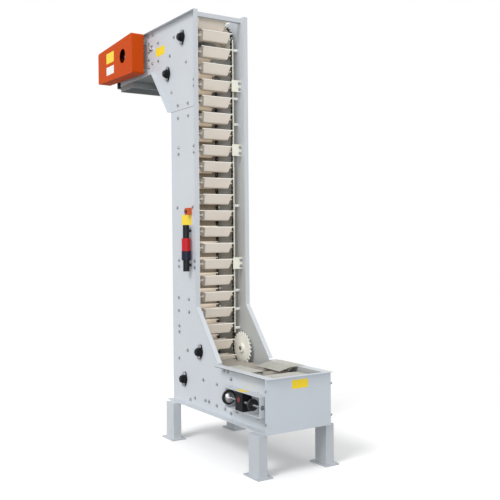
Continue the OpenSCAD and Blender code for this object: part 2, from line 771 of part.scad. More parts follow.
// Upright strips in front of the lifting chain and behind the falling one
module bucket_guides() color([0.93, 0.92, 0.84]) place() both_sides() {
    for (g = [[carry_x + guide_clear, lift_guide_z],
        [return_x - guide_clear - guide_depth, down_guide_z]])
        translate([g[0], chain_y - guide_width / 2, g[1][0]])
            cube([guide_depth, guide_width, g[1][1] - g[1][0]]);
}

// Angle pieces on the far side sheet that keep the bucket lips in line
module guide_brackets() color([0.93, 0.92, 0.84]) place()
    for (z = bracket_heights) translate([0, 0, z - bracket_height / 2]) difference() {
        linear_extrude(bracket_height) polygon([[bracket_x, bracket_inner_y],
            [bracket_x + bracket_thick, bracket_inner_y], [bracket_x + bracket_thick, inner_half],
            [bracket_x - bracket_leg, inner_half], [bracket_x - bracket_leg,
            inner_half - bracket_thick], [bracket_x, inner_half - bracket_thick]]);
        for (h = [1, 3]) translate([bracket_x - cut, inner_half - bracket_leg / 2,
            h * bracket_height / 4]) rotate([0, 90, 0])
            cylinder(h = bracket_thick + 2 * cut, d = bracket_hole_d);
    }

// Spacer tubes that hold the guides off the casing
module spacer_tubes() color([0.9, 0.9, 0.88]) place() both_sides()
    for (g = [[carry_x + guide_clear + tube_d / 2, lift_guide_z],
        [return_x - guide_clear - tube_d / 2, down_guide_z]], z = tube_heights)
        if (z > g[1][0] && z < g[1][1])
            translate([g[0], 0, z]) along_y(chain_y + guide_width / 2,
                inner_half - chain_y - guide_width / 2) difference() {
                circle(d = tube_d);
                circle(d = tube_bore);
            }

// Rails under the level chains, each on an angle from the casing
module chain_rail(x0, x1, z) translate([x0, 0, z - roller_d / 2 - seat_gap]) {
    rail_w = roller_width - 2 * rail_side_gap;
    translate([0, chain_y - rail_w / 2, -rail_height])
        cube([x1 - x0, rail_w, rail_height]);
    translate([0, chain_y - rail_w / 2, -rail_height - sheet])
        cube([x1 - x0, inner_half - chain_y + rail_w / 2, sheet]);
}

module chain_rails() color([0.9, 0.9, 0.85]) place() both_sides() {
    chain_rail(head_axis[0] + rail_clear, upper_front[0] - rail_clear, top_z);
    chain_rail(head_axis[0] + rail_clear, upper_back[0] - rail_clear, top_return_z);
    chain_rail(lower_front[0] + rail_clear, tail_axis[0] - rail_clear, bottom_z);
    chain_rail(lower_back[0] + rail_clear, tail_axis[0] - rail_clear, bottom_return_z);
}

// Flange bearings

// Two-bolt flange seen from the side, made of three circles and their common tangents
module bearing_outline() {
    r_mid = bearing_width / 2;
    r_end = bearing_length / 2 - bearing_bolt_span / 2;
    reach = bearing_bolt_span / 2;
    a = acos((r_mid - r_end) / reach);
    circle(r_mid);
    for (side = [-1, 1]) {
        translate([0, side * reach]) circle(r_end);
        polygon([r_mid * [sin(a), side * cos(a)], r_mid * [-sin(a), side * cos(a)],
            [-r_end * sin(a), side * (reach + r_end * cos(a))],
            [r_end * sin(a), side * (reach + r_end * cos(a))]]);
    }
}

// The bearing's cap closes it, unless the shaft goes through
module flange_bearing(centre, through) translate([centre[0], half, centre[1]])
    rotate([0, bearing_tilt, 0]) difference() {
        bore_end = through ? bearing_flange + bearing_body + cut
            : bearing_flange + bearing_body - bearing_cap + seat_gap;
        union() {
            along_y(0, bearing_flange) bearing_outline();
            along_y(bearing_flange, bearing_body * 0.6) circle(d = bearing_width * 0.86);
            along_y(bearing_flange + bearing_body * 0.6, bearing_body * 0.4)
                circle(d = bearing_width * 0.72);
        }
        along_y(-cut, bore_end + cut) circle(d = shaft_d + 2 * shaft_clearance);
        for (side = [-1, 1]) along_y(-cut, bearing_flange + 2 * cut)
            translate([0, side * bearing_bolt_span / 2]) circle(d = bearing_bolt_d);
    }

module flange_bearings() color([0.08, 0.09, 0.1]) place() {
    both_sides() for (c = [upper_front, upper_back, lower_front, lower_back])
        flange_bearing(c, false);
    flange_bearing(head_axis, false);
    mirror([0, 1, 0]) flange_bearing(head_axis, true);
}

// Take-up: a frame on the casing, a sliding bearing block and its screw

module takeup_frame() {
    low = takeup_z - takeup_height / 2;
    high = takeup_z + takeup_height / 2;
    left = takeup_x - takeup_length / 2;
    for (z = [low, high - takeup_plate]) translate([left, half, z])
        cube([takeup_length, takeup_depth, takeup_plate]);
    for (x = [left, left + takeup_length - takeup_plate])
        difference() {
            translate([x, half, low]) cube([takeup_plate, takeup_depth, takeup_height]);
            translate([x - cut, screw_y, takeup_z]) rotate([0, 90, 0])
                cylinder(h = takeup_plate + 2 * cut, d = screw_d + 2 * shaft_clearance);
        }
}
module takeup_frames() color([0.88, 0.9, 0.92]) place() both_sides() takeup_frame();

module takeup_block() {
    high = takeup_height - 2 * takeup_plate - 2 * seat_gap;
    difference() {
        translate([tail_axis[0] - block_length / 2, half + seat_gap, takeup_z - high / 2])
            cube([block_length, takeup_depth, high]);
        along_y(half, tail_shaft_end - half + 1) translate(tail_axis)
            circle(d = shaft_d + 2 * shaft_clearance);
        translate([tail_axis[0] - block_length, screw_y, takeup_z]) rotate([0, 90, 0])
            cylinder(h = 2 * block_length, d = screw_d + 2 * shaft_clearance);
    }
}
module takeup_blocks() color([0.08, 0.09, 0.1]) place() both_sides() takeup_block();

// Screw through both end plates and the block, with a cup at one end and a knob at the other
module takeup_screw() {
    left = takeup_x - takeup_length / 2;
    translate([left, screw_y, takeup_z]) rotate([0, 90, 0]) {
        translate([0, 0, -screw_proud])
            cylinder(h = takeup_length + 2 * screw_proud, d = screw_d);
        translate([0, 0, cup_place]) {
            cylinder(h = cup_ring, d = cup_d);
            for (step = [0:dome_steps - 1]) {
                from = step * 90 / dome_steps;
                to = (step + 1) * 90 / dome_steps;
                translate([0, 0, cup_ring + dome_rise * sin(from)])
                    cylinder(h = dome_rise * (sin(to) - sin(from)), r1 = dome_r * cos(from),
                        r2 = max(dome_r * cos(to), screw_d / 2));
            }
        }
        translate([0, 0, knob_place]) cylinder(h = knob_thick, d = knob_d);
    }
}
module takeup_screws() color([0.6, 0.6, 0.62]) place() both_sides() takeup_screw();

// Curved plastic shoes outside the chain where it turns between upright and level
module corner_shoes() color([0.93, 0.92, 0.84]) place() both_sides()
    for (c = [[lower_front, 180], [upper_back, 0]]) translate([c[0][0], 0, c[0][1]]) {
        near_r = pitch_r + roller_d / 2 + shoe_gap;
        far_r = near_r + shoe_depth;
        along_y(chain_y - roller_width / 2, inner_half - chain_y + roller_width / 2)
            intersection() {
                difference() {
                    circle(far_r);
                    circle(near_r);
                }
                rotate(c[1]) square(far_r);
            }
    }

// Cover over the drive chain, with its lower edge rising to the short end

module cover_outline(inset) {
    left = -cover_right - cover_length + cover_edge_r;
    right = -cover_right - cover_edge_r;
    low = cover_bottom_z + cover_edge_r;
    high = cover_bottom_z + cover_tall - cover_edge_r;
    drop = cover_taper * cover_drop_share;
    hull() for (p = [[right, low], [right, high], [left, high - drop],
        [left, low + cover_taper - drop]]) translate(p) circle(cover_edge_r - inset);
}

module drive_cover() color([0.82, 0.33, 0.09]) place() {
    front = y_low;
    back = front + cover_depth;
    difference() {
        along_y(front, cover_depth) cover_outline(0);
        along_y(front + cover_wall, cover_depth - 2 * cover_wall) cover_outline(cover_wall);
        along_y(front - cut, cover_wall + 2 * cut) translate(head_axis) circle(d = cover_hole_d);
        along_y(back - cover_wall - cut, cover_wall + 2 * cut) {
            translate(head_axis) circle(d = shaft_d + 20);
            translate([motor_x, head_axis[1]]) circle(d = motor_shaft_d + 20);
        }
    }
    // Stays that hold the cover off the casing
    for (x = [-cover_right - 60, -head_reach + 60], z = [cover_bottom_z + 50,
        cover_bottom_z + cover_short - 20])
        along_y(back, cover_gap) translate([x, z]) circle(d = cover_stay_d);
}

// Gearbox and motor on a plate at the end of the head
module gearmotor() color([0.3, 0.34, 0.38]) place()
    translate([motor_x, 0, head_axis[1]]) {
        half_box = gearbox_size / 2;
        difference() {
            along_y(-half, gearbox_size) union() {
                circle(half_box);
                translate([-half_box, -half_box]) square([gearbox_size, half_box]);
                translate([0, -half_box]) square([half_box, gearbox_size]);
            }
            along_y(-half - cut, motor_shaft_in + half + 2 * cut)
                circle(d = motor_shaft_d + 2 * shaft_clearance);
        }
        translate([0, -half + half_box, -half_box]) rotate([180, 0, 0])
            cylinder(h = gearbox_drop - gearbox_size, d = gearbox_size * 0.8);
        translate([half_box, -inner_half, -gearbox_size])
            cube([motor_plate, gearbox_size, gearbox_size * 1.4]);
    }

// Column on the near side: a push button box above a power connector

module safety_switch() color([0.08, 0.09, 0.1]) place() mirror([0, 1, 0])
    translate([switch_x, half, 0]) {
        translate([0, switch_wide_d / 2 + 4, 0]) for (p = switch_parts)
            translate([0, 0, p[0]]) cylinder(h = p[1], d = p[2]);
        for (z = switch_clips) translate([-15, 0, z])
            cube([30, switch_wide_d / 2 - switch_narrow_d / 2 + 8, 24]);
        difference() {
            translate([-30, 0, switch_box_z]) cube([60, 44, 64]);
            translate([0, 30, switch_box_z + 32]) rotate([-90, 0, 0])
                cylinder(h = 20, d = button_d + 2 * shaft_clearance);
        }
    }

module switch_button() color([0.85, 0.25, 0.15]) place() mirror([0, 1, 0])
    translate([switch_x, half + 36, switch_box_z + 32]) rotate([-90, 0, 0]) {
        cylinder(h = 14, d = button_d);
        translate([0, 0, 13]) cylinder(h = 7, d = 38);
    }

near_side_sheet();
far_side_sheet();
near_head_sheet();
far_head_sheet();
tower_back_sheet();
head_underside_sheet();
head_end_sheet();
outlet_chute();
boot_floor();
hopper_front_plate();
hopper_chute_plates();
chain_hood();
cross_tie();
rear_legs();
front_legs();
bucket_guides();
guide_brackets();
spacer_tubes();
chain_rails();
corner_shoes();
flange_bearings();
takeup_frames();
gearmotor();
drive_cover();
safety_switch();
switch_button();
head_shaft();
head_wheels();
head_chain();
drive_wheel();
motor_wheel();
lift_chain();
top_chain();
top_return_chain();
down_chain();
bottom_return_chain();
bottom_chain();
lift_buckets();
top_buckets();
top_return_buckets();
down_buckets();
bottom_return_buckets();
bottom_buckets();
upper_front_wheels();
upper_back_wheels();
lower_front_wheels();
lower_back_wheels();
upper_front_bucket();
upper_back_bucket();
lower_front_bucket();
lower_back_bucket();
head_first_bucket();
head_second_bucket();
tail_first_bucket();
tail_second_bucket();
tail_shaft();
tail_wheels();
tail_chain();
takeup_blocks();
takeup_screws();
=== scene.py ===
import json
import math
import bpy
from mathutils import Matrix, Vector


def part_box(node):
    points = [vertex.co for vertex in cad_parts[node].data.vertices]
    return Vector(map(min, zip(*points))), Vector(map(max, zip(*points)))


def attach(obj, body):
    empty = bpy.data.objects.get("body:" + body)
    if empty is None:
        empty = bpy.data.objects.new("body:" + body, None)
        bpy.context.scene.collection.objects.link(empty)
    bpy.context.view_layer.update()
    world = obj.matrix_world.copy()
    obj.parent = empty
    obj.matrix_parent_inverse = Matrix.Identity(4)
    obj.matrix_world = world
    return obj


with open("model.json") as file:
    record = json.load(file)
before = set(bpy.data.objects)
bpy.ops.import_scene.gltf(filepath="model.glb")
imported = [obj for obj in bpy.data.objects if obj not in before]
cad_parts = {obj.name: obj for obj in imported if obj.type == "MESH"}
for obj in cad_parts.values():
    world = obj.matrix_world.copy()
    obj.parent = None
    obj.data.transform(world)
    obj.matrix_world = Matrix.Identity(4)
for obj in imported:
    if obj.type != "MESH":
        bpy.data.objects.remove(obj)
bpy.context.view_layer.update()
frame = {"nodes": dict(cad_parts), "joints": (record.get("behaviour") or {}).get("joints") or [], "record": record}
nodes = frame["nodes"]
jointPlace = {j["name"]: Vector(j["pos_m"]) for j in frame["joints"] if "pos_m" in j}
mm = 0.001

for leftover in ("Cube", "Light", "Camera"):
    if leftover in bpy.data.objects:
        bpy.data.objects.remove(bpy.data.objects[leftover])

# turns a piece modelled with its front along +Z so that the front looks that way
facing = {
    "near": (math.radians(90), 0, 0),
    "far": (math.radians(-90), 0, 0),
    "front": (0, math.radians(90), 0),
    "back": (0, math.radians(-90), 0),
    "up": (0, 0, 0),
}


# selection and finishing helpers


def clearSelection():
    if bpy.context.object and bpy.context.object.mode != "OBJECT":
        bpy.ops.object.mode_set(mode="OBJECT")
    bpy.ops.object.select_all(action="DESELECT")


def pick(piece):
    clearSelection()
    piece.select_set(True)
    bpy.context.view_layer.objects.active = piece


def applyPlace(piece):
    pick(piece)
    bpy.ops.object.transform_apply(location=True, rotation=True, scale=True)


def applyModifiers(piece):
    pick(piece)
    for modifier in list(piece.modifiers):
        bpy.ops.object.modifier_apply(modifier=modifier.name)


def selectFaces(piece, test):
    bpy.ops.mesh.select_all(action="DESELECT")
    bpy.ops.object.mode_set(mode="OBJECT")
    for face in piece.data.polygons:
        face.select = test(face)
    bpy.ops.object.mode_set(mode="EDIT")


def editMode(piece):
    pick(piece)
    bpy.ops.object.mode_set(mode="EDIT")
    bpy.ops.mesh.select_mode(type="FACE")


def objectMode():
    bpy.ops.object.mode_set(mode="OBJECT")


def newPiece(name):
    piece = bpy.context.object
    piece.name = name
    piece.data.name = name
    return piece


def joinPieces(pieces, name):
    clearSelection()
    for piece in pieces:
        piece.select_set(True)
    bpy.context.view_layer.objects.active = pieces[0]
    if len(pieces) > 1:
        bpy.ops.object.join()
    joined = newPiece(name)
    applyPlace(joined)
    return joined


def copiesAt(model, spots, name):
    # every spot is a place in metres, the side that the copy looks to, and a turn about its axis
    copies = []
    for place, side, turn in spots:
        copy = model.copy()
        copy.data = model.data.copy()
        bpy.context.scene.collection.objects.link(copy)
        turned = Matrix.Rotation(math.radians(turn), 4, "Z")
        angles = facing[side]
        towards = Matrix.Rotation(angles[1], 4, "Y") @ Matrix.Rotation(angles[0], 4, "X")
        copy.matrix_world = Matrix.Translation(Vector(place)) @ towards @ turned
        copies.append(copy)
    return joinPieces(copies, name)


def dropModel(model):
    bpy.data.objects.remove(model)


def smoothByAngle(piece, degrees=32):
    pick(piece)
    bpy.ops.object.shade_smooth_by_angle(angle=math.radians(degrees))


def finishPiece(piece, material, body):
    piece.data.materials.clear()
    piece.data.materials.append(material)
    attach(piece, body)
    return piece


# shader groups


def newGroup(name, inputs, outputs):
    group = bpy.data.node_groups.new(name, "ShaderNodeTree")
    kinds = {"value": "NodeSocketFloat", "colour": "NodeSocketColor",
             "vector": "NodeSocketVector"}
    for socket, kind, value in inputs:
        made = group.interface.new_socket(name=socket, in_out="INPUT", socket_type=kinds[kind])
        made.default_value = value
    for socket, kind in outputs:
        group.interface.new_socket(name=socket, in_out="OUTPUT", socket_type=kinds[kind])
    start = group.nodes.new("NodeGroupInput")
    end = group.nodes.new("NodeGroupOutput")
    return group, start, end


def addNode(tree, kind, values=None, **settings):
    node = tree.nodes.new(kind)
    for key, value in settings.items():
        setattr(node, key, value)
    for key, value in (values or {}).items():
        node.inputs[key].default_value = value
    return node


def mixColours(tree, factor, first, second, blend="MIX"):
    node = addNode(tree, "ShaderNodeMix", data_type="RGBA", blend_type=blend)
    links = tree.links
    for index, source in ((0, factor), (6, first), (7, second)):
        if isinstance(source, bpy.types.NodeSocket):
            links.new(source, node.inputs[index])
        else:
            node.inputs[index].default_value = source
    return node.outputs[2]


def spread(tree, source, low, high, toLow=0.0, toHigh=1.0):
    node = addNode(tree, "ShaderNodeMapRange", {1: low, 2: high, 3: toLow, 4: toHigh})
    tree.links.new(source, node.inputs[0])
    return node.outputs[0]


def sheetPaintGroup():
    # powder coat on sheet steel: faint clouding, fine orange peel, dust near the floor
    group, start, end = newGroup(
        "sheetPaint",
        [("Vector", "vector", (0, 0, 0)), ("Paint", "colour", (0.8, 0.8, 0.8, 1)),
         ("Shade", "colour", (0.6, 0.6, 0.6, 1)), ("Clouding", "value", 0.3),
         ("Dust height", "value", 0.5), ("Roughness", "value", 0.4)],
        [("Color", "colour"), ("Roughness", "value"), ("Height", "value")])
    vector = start.outputs["Vector"]
    clouds = addNode(group, "ShaderNodeTexNoise", {"Scale": 1.7, "Detail": 5, "Roughness": 0.6})
    peel = addNode(group, "ShaderNodeTexNoise", {"Scale": 420, "Detail": 2, "Roughness": 0.5})
    rub = addNode(group, "ShaderNodeTexNoise", {"Scale": 9, "Detail": 7, "Roughness": 0.72})
    for texture in (clouds, peel, rub):
        group.links.new(vector, texture.inputs["Vector"])
    cloudMask = spread(group, clouds.outputs[0], 0.42, 0.72)
    amount = addNode(group, "ShaderNodeMath", operation="MULTIPLY")
    group.links.new(cloudMask, amount.inputs[0])
    group.links.new(start.outputs["Clouding"], amount.inputs[1])
    colour = mixColours(group, amount.outputs[0], start.outputs["Paint"], start.outputs["Shade"])
    split = addNode(group, "ShaderNodeSeparateXYZ")
    group.links.new(vector, split.inputs[0])
    low = addNode(group, "ShaderNodeMapRange", {2: 0.0, 3: 0.0, 4: 1.0})
    group.links.new(split.outputs[2], low.inputs[0])
    group.links.new(start.outputs["Dust height"], low.inputs[1])
    rubMask = spread(group, rub.outputs[0], 0.5, 0.75, 0.0, 0.35)
    dusty = addNode(group, "ShaderNodeMath", operation="MULTIPLY", use_clamp=True)
    group.links.new(low.outputs[0], dusty.inputs[0])
    group.links.new(rubMask, dusty.inputs[1])
    colour = mixColours(group, dusty.outputs[0], colour, (0.42, 0.40, 0.37, 1))
    group.links.new(colour, end.inputs["Color"])
    rough = addNode(group, "ShaderNodeMath", operation="MULTIPLY_ADD")
    group.links.new(rub.outputs[0], rough.inputs[0])
    rough.inputs[1].default_value = 0.16
    group.links.new(start.outputs["Roughness"], rough.inputs[2])
    group.links.new(rough.outputs[0], end.inputs["Roughness"])
    group.links.new(peel.outputs[0], end.inputs["Height"])
    return group


def brushedGroup():
    # long fine scratches along one direction, with duller handled patches
    group, start, end = newGroup(
        "brushedMetal",
        [("Vector", "vector", (0, 0, 0)), ("Metal", "colour", (0.6, 0.6, 0.6, 1)),
         ("Dark", "colour", (0.3, 0.3, 0.3, 1)), ("Contrast", "value", 0.4),
         ("Roughness", "value", 0.3)],
        [("Color", "colour"), ("Roughness", "value"), ("Height", "value")])
    scratches = addNode(group, "ShaderNodeTexNoise", {"Scale": 60, "Detail": 3, "Roughness": 0.6})
    patches = addNode(group, "ShaderNodeTexNoise", {"Scale": 6, "Detail": 5, "Roughness": 0.65})
    stretch = addNode(group, "ShaderNodeMapping")
    stretch.inputs["Scale"].default_value = (0.5, 14, 14)
    group.links.new(start.outputs["Vector"], stretch.inputs["Vector"])
    group.links.new(stretch.outputs[0], scratches.inputs["Vector"])
    group.links.new(start.outputs["Vector"], patches.inputs["Vector"])
    mask = addNode(group, "ShaderNodeMath", operation="MULTIPLY")
    group.links.new(spread(group, patches.outputs[0], 0.4, 0.7), mask.inputs[0])
    group.links.new(start.outputs["Contrast"], mask.inputs[1])
    colour = mixColours(group, mask.outputs[0], start.outputs["Metal"], start.outputs["Dark"])
    streak = spread(group, scratches.outputs[0], 0.3, 0.7, 0.88, 1.0)
    combine = addNode(group, "ShaderNodeCombineColor")
    for index in range(3):
        group.links.new(streak, combine.inputs[index])
    colour = mixColours(group, 1.0, colour, combine.outputs[0], "MULTIPLY")
    group.links.new(colour, end.inputs["Color"])
    rough = addNode(group, "ShaderNodeMath", operation="MULTIPLY_ADD")
    group.links.new(patches.outputs[0], rough.inputs[0])
    rough.inputs[1].default_value = 0.22
    group.links.new(start.outputs["Roughness"], rough.inputs[2])
    group.links.new(rough.outputs[0], end.inputs["Roughness"])
    group.links.new(scratches.outputs[0], end.inputs["Height"])
    return group


def mouldedGroup():
    # moulded plastic: soft tone drift, fine grain, light rubbed spots
    group, start, end = newGroup(
        "mouldedPlastic",
        [("Vector", "vector", (0, 0, 0)), ("Body", "colour", (0.8, 0.8, 0.8, 1)),
         ("Stain", "colour", (0.6, 0.6, 0.6, 1)), ("Staining", "value", 0.3),
         ("Roughness", "value", 0.45)],
        [("Color", "colour"), ("Roughness", "value"), ("Height", "value")])
    drift = addNode(group, "ShaderNodeTexNoise", {"Scale": 5, "Detail": 4, "Roughness": 0.55})
    grain = addNode(group, "ShaderNodeTexNoise", {"Scale": 700, "Detail": 2, "Roughness": 0.5})
    for texture in (drift, grain):
        group.links.new(start.outputs["Vector"], texture.inputs["Vector"])
    mask = addNode(group, "ShaderNodeMath", operation="MULTIPLY")
    group.links.new(spread(group, drift.outputs[0], 0.45, 0.75), mask.inputs[0])
    group.links.new(start.outputs["Staining"], mask.inputs[1])
    colour = mixColours(group, mask.outputs[0], start.outputs["Body"], start.outputs["Stain"])
    group.links.new(colour, end.inputs["Color"])
    rough = addNode(group, "ShaderNodeMath", operation="MULTIPLY_ADD")
    group.links.new(drift.outputs[0], rough.inputs[0])
    rough.inputs[1].default_value = 0.15
    group.links.new(start.outputs["Roughness"], rough.inputs[2])
    group.links.new(rough.outputs[0], end.inputs["Roughness"])
    group.links.new(grain.outputs[0], end.inputs["Height"])
    return group


groups = {"paint": sheetPaintGroup(), "metal": brushedGroup(), "plastic": mouldedGroup()}


# materials


def newMaterial(name, metallic=0.0, coat=0.0):
    material = bpy.data.materials.new(name)
    material.use_nodes = True
    tree = material.node_tree
    tree.nodes.clear()
    out = tree.nodes.new("ShaderNodeOutputMaterial")
    shader = tree.nodes.new("ShaderNodeBsdfPrincipled")
    shader.inputs["Metallic"].default_value = metallic
    shader.inputs["Coat Weight"].default_value = coat
    shader.inputs["Coat Roughness"].default_value = 0.2
    tree.links.new(shader.outputs[0], out.inputs["Surface"])
    coords = tree.nodes.new("ShaderNodeTexCoord")
    return material, tree, shader, coords.outputs["Object"]


def finishedMaterial(name, group, values, metallic=0.0, coat=0.0, bump=0.1, depth=0.0004,
                     gleam=0.5):
    material, tree, shader, place = newMaterial(name, metallic, coat)
    shader.inputs["Specular IOR Level"].default_value = gleam
    node = addNode(tree, "ShaderNodeGroup", node_tree=groups[group])
    for key, value in values.items():
        node.inputs[key].default_value = value
    tree.links.new(place, node.inputs["Vector"])
    tree.links.new(node.outputs["Color"], shader.inputs["Base Color"])
    tree.links.new(node.outputs["Roughness"], shader.inputs["Roughness"])
    relief = addNode(tree, "ShaderNodeBump", {"Strength": bump, "Distance": depth})
    tree.links.new(node.outputs["Height"], relief.inputs["Height"])
    tree.links.new(relief.outputs[0], shader.inputs["Normal"])
    return material


def painted(name, paint, shade, roughness=0.38, clouding=0.35, dust=0.5, coat=0.1, gleam=0.5):
    return finishedMaterial(
        name, "paint",
        {"Paint": (*paint, 1), "Shade": (*shade, 1), "Roughness": roughness,
         "Clouding": clouding, "Dust height": dust}, coat=coat, bump=0.12, gleam=gleam)


def metal(name, bright, dark, roughness=0.28, contrast=0.4, metallic=1.0):
    return finishedMaterial(
        name, "metal",
        {"Metal": (*bright, 1), "Dark": (*dark, 1), "Roughness": roughness,
         "Contrast": contrast}, metallic=metallic, bump=0.15, depth=0.0003)


def plastic(name, colour, stain, roughness=0.42, staining=0.35):
    return finishedMaterial(
        name, "plastic",
        {"Body": (*colour, 1), "Stain": (*stain, 1), "Roughness": roughness,
         "Staining": staining}, bump=0.08, depth=0.0003)


def bandedMaterial(name, bands, roughness):
    # one colour for each stretch of height, from the lowest up
    material, tree, shader, place = newMaterial(name)
    shader.inputs["Specular IOR Level"].default_value = 0.3
    split = addNode(tree, "ShaderNodeSeparateXYZ")
    tree.links.new(place, split.inputs[0])
    colour = (*bands[0][1], 1)
    for height, tone in bands[1:]:
        above = addNode(tree, "ShaderNodeMath", {1: height * mm}, operation="GREATER_THAN")
        tree.links.new(split.outputs[2], above.inputs[0])
        colour = mixColours(tree, above.outputs[0], colour, (*tone, 1))
    speckle = addNode(tree, "ShaderNodeTexNoise", {"Scale": 90, "Detail": 4})
    tree.links.new(place, speckle.inputs["Vector"])
    faded = mixColours(tree, spread(tree, speckle.outputs[0], 0.55, 0.8, 0, 0.06), colour,
                       (0.25, 0.23, 0.22, 1))
    tree.links.new(faded, shader.inputs["Base Color"])
    tree.links.new(spread(tree, speckle.outputs[0], 0.3, 0.7, roughness, roughness + 0.2),
                   shader.inputs["Roughness"])
    return material


def fadeUp(material, tone, low, high):
    # the colour turns into another tone between two heights
    tree = material.node_tree
    shader = next(node for node in tree.nodes if node.type == "BSDF_PRINCIPLED")
    source = shader.inputs["Base Color"].links[0].from_socket
    coords = tree.nodes.new("ShaderNodeTexCoord")
    split = addNode(tree, "ShaderNodeSeparateXYZ")
    tree.links.new(coords.outputs["Object"], split.inputs[0])
    level = spread(tree, split.outputs[2], low, high)
    tree.links.new(mixColours(tree, level, source, (*tone, 1)), shader.inputs["Base Color"])


finishes = {
    "sheet": painted("palePaint", (0.55, 0.585, 0.62), (0.49, 0.52, 0.56)),
    "plate": painted("coolPaint", (0.53, 0.58, 0.63), (0.46, 0.50, 0.56)),
    # painted shade: the dark_sheet finish is the pale sheet paint darkened for the shade under the head
    "dark_sheet": painted("underShadePaint", (0.22, 0.24, 0.24), (0.15, 0.16, 0.16), 0.5),
    "steel": metal("satinSteel", (0.58, 0.59, 0.60), (0.36, 0.36, 0.37), 0.3),
    "chute": metal("wornSteel", (0.54, 0.54, 0.49), (0.43, 0.43, 0.39), 0.42, 0.5, 0.25),
    "leg": painted("legPaint", (0.54, 0.575, 0.61), (0.46, 0.50, 0.53), dust=0.35),
    "guide": plastic("creamStrip", (0.80, 0.80, 0.69), (0.68, 0.67, 0.55)),
    "bearing": painted("blackCasting", (0.004, 0.005, 0.007), (0.010, 0.011, 0.013), 0.34, 0.3,
                       dust=0.1, coat=0.0, gleam=0.28),
    "gearbox": painted("gearPaint", (0.05, 0.07, 0.09), (0.03, 0.04, 0.05), 0.36, 0.6),
    "cover": painted("coverPaint", (0.55, 0.066, 0.003), (0.47, 0.053, 0.002), 0.5, 0.4, coat=0.0,
                     gleam=0.1),
    "button": plastic("dotRed", (0.14, 0.02, 0.015), (0.08, 0.01, 0.01), 0.3),
    "wheel": plastic("wheelCream", (0.84, 0.83, 0.76), (0.74, 0.72, 0.63)),
    "chain": metal("oiledChain", (0.055, 0.055, 0.058), (0.02, 0.02, 0.022), 0.3, 0.7, 0.8),
    "shaft": metal("groundShaft", (0.66, 0.66, 0.67), (0.45, 0.45, 0.46), 0.16, 0.3),
    "bucket": plastic("bucketCream", (0.84, 0.77, 0.68), (0.74, 0.66, 0.57), 0.4, 0.4),
    "knob": metal("knobSteel", (0.60, 0.60, 0.61), (0.40, 0.40, 0.41), 0.2, 0.3),
}
finishes["connector"] = bandedMaterial(
    "connectorBands",
    [(0, (0.006, 0.007, 0.009)), (1698, (0.006, 0.009, 0.026)), (1784, (0.47, 0.006, 0.012)),
     (1902, (0.006, 0.007, 0.009)), (2080, (0.60, 0.11, 0.03))], 0.4)
blackPlastic = plastic("blackPlastic", (0.012, 0.012, 0.014), (0.04, 0.04, 0.042), 0.36)
blackRubber = plastic("blackRubber", (0.010, 0.010, 0.011), (0.03, 0.03, 0.03), 0.6)
# painted highlight: a paler copy of the bucket cream on the buckets' lips stands for the light along their rims
bucketLipHighlight = plastic("bucketLipHighlight", (0.95, 0.92, 0.86), (0.86, 0.82, 0.74), 0.36, 0.2)
# partly dust, partly painted shade: the buckets in the hopper are a darker, greyer cream for the hopper's shade
dustyShadedBucket = plastic("dustyShadedBucket", (0.44, 0.41, 0.36), (0.34, 0.31, 0.27), 0.5, 0.5)
# painted shade: the back sheet's inner face is a brownish grey that stands for the pale paint in the shade inside
# the tower
shadedBackSheet = painted("shadedBackSheet", (0.50, 0.44, 0.35), (0.40, 0.35, 0.27), 0.5)
# painted shade: the inner faces of the side sheets are the sheet paint darkened for the shade inside the tower
innerShadePaint = painted("innerShadePaint", (0.455, 0.47, 0.465), (0.38, 0.39, 0.38), 0.5)
# painted shade: the front legs are the leg paint darkened for the shade of the boot
frontLegShadePaint = painted("frontLegShadePaint", (0.475, 0.51, 0.545), (0.41, 0.44, 0.47), dust=0.35)
shadedSteel = metal("shadedSteel", (0.45, 0.45, 0.40), (0.36, 0.36, 0.32), 0.45, 0.5, 0.25)
boltSteel = metal("zincBolt", (0.52, 0.53, 0.55), (0.32, 0.33, 0.35), 0.26, 0.5)
yellowLabel = plastic("yellowLabel", (0.87, 0.64, 0.02), (0.76, 0.55, 0.02), 0.34, 0.3)
sleeveWhite = plastic("sleeveWhite", (0.80, 0.81, 0.80), (0.70, 0.71, 0.70), 0.4)
whiteLabel = plastic("whiteLabel", (0.80, 0.80, 0.78), (0.66, 0.66, 0.64), 0.34, 0.3)
redCap = plastic("redCap", (0.17, 0.025, 0.03), (0.10, 0.015, 0.018), 0.4)
seamDark = plastic("seamShadow", (0.09, 0.09, 0.10), (0.05, 0.05, 0.05), 0.7)
print("materials made")

slotOf = {s["node"]: s["material_slot"] for s in frame["record"]["subparts"]}
for nodeName, node in nodes.items():
    node.data.materials.clear()
    node.data.materials.append(finishes[slotOf[nodeName]])


def secondFinish(nodeName, material, test):
    # faces of one CAD node that are another piece of stuff on the real machine
    mesh = nodes[nodeName].data
    mesh.materials.append(material)
    index = len(mesh.materials) - 1
    for face in mesh.polygons:
        corners = [mesh.vertices[i].co for i in face.vertices]
        if test(corners):
            face.material_index = index


# chain geometry, worked out from the joints

chain = {"pitch": 38.1 * mm, "teeth": 24, "middle": 200 * mm, "half": 11.65 * mm, "rise": 77,
         "top": 26, "boot": 21, "gap": 8}
machineY = 12 * mm
pitchR = chain["pitch"] / (2 * math.sin(math.pi / chain["teeth"]))
headAxis = jointPlace["head_turn"]
tailAxis = jointPlace["tail_turn"]
corner = {name: jointPlace[name + "_turn"] for name in
          ("upper_front", "upper_back", "lower_front", "lower_back")}


def flat(point, dx=0.0, dz=0.0):
    return (point.x + dx, point.z + dz)


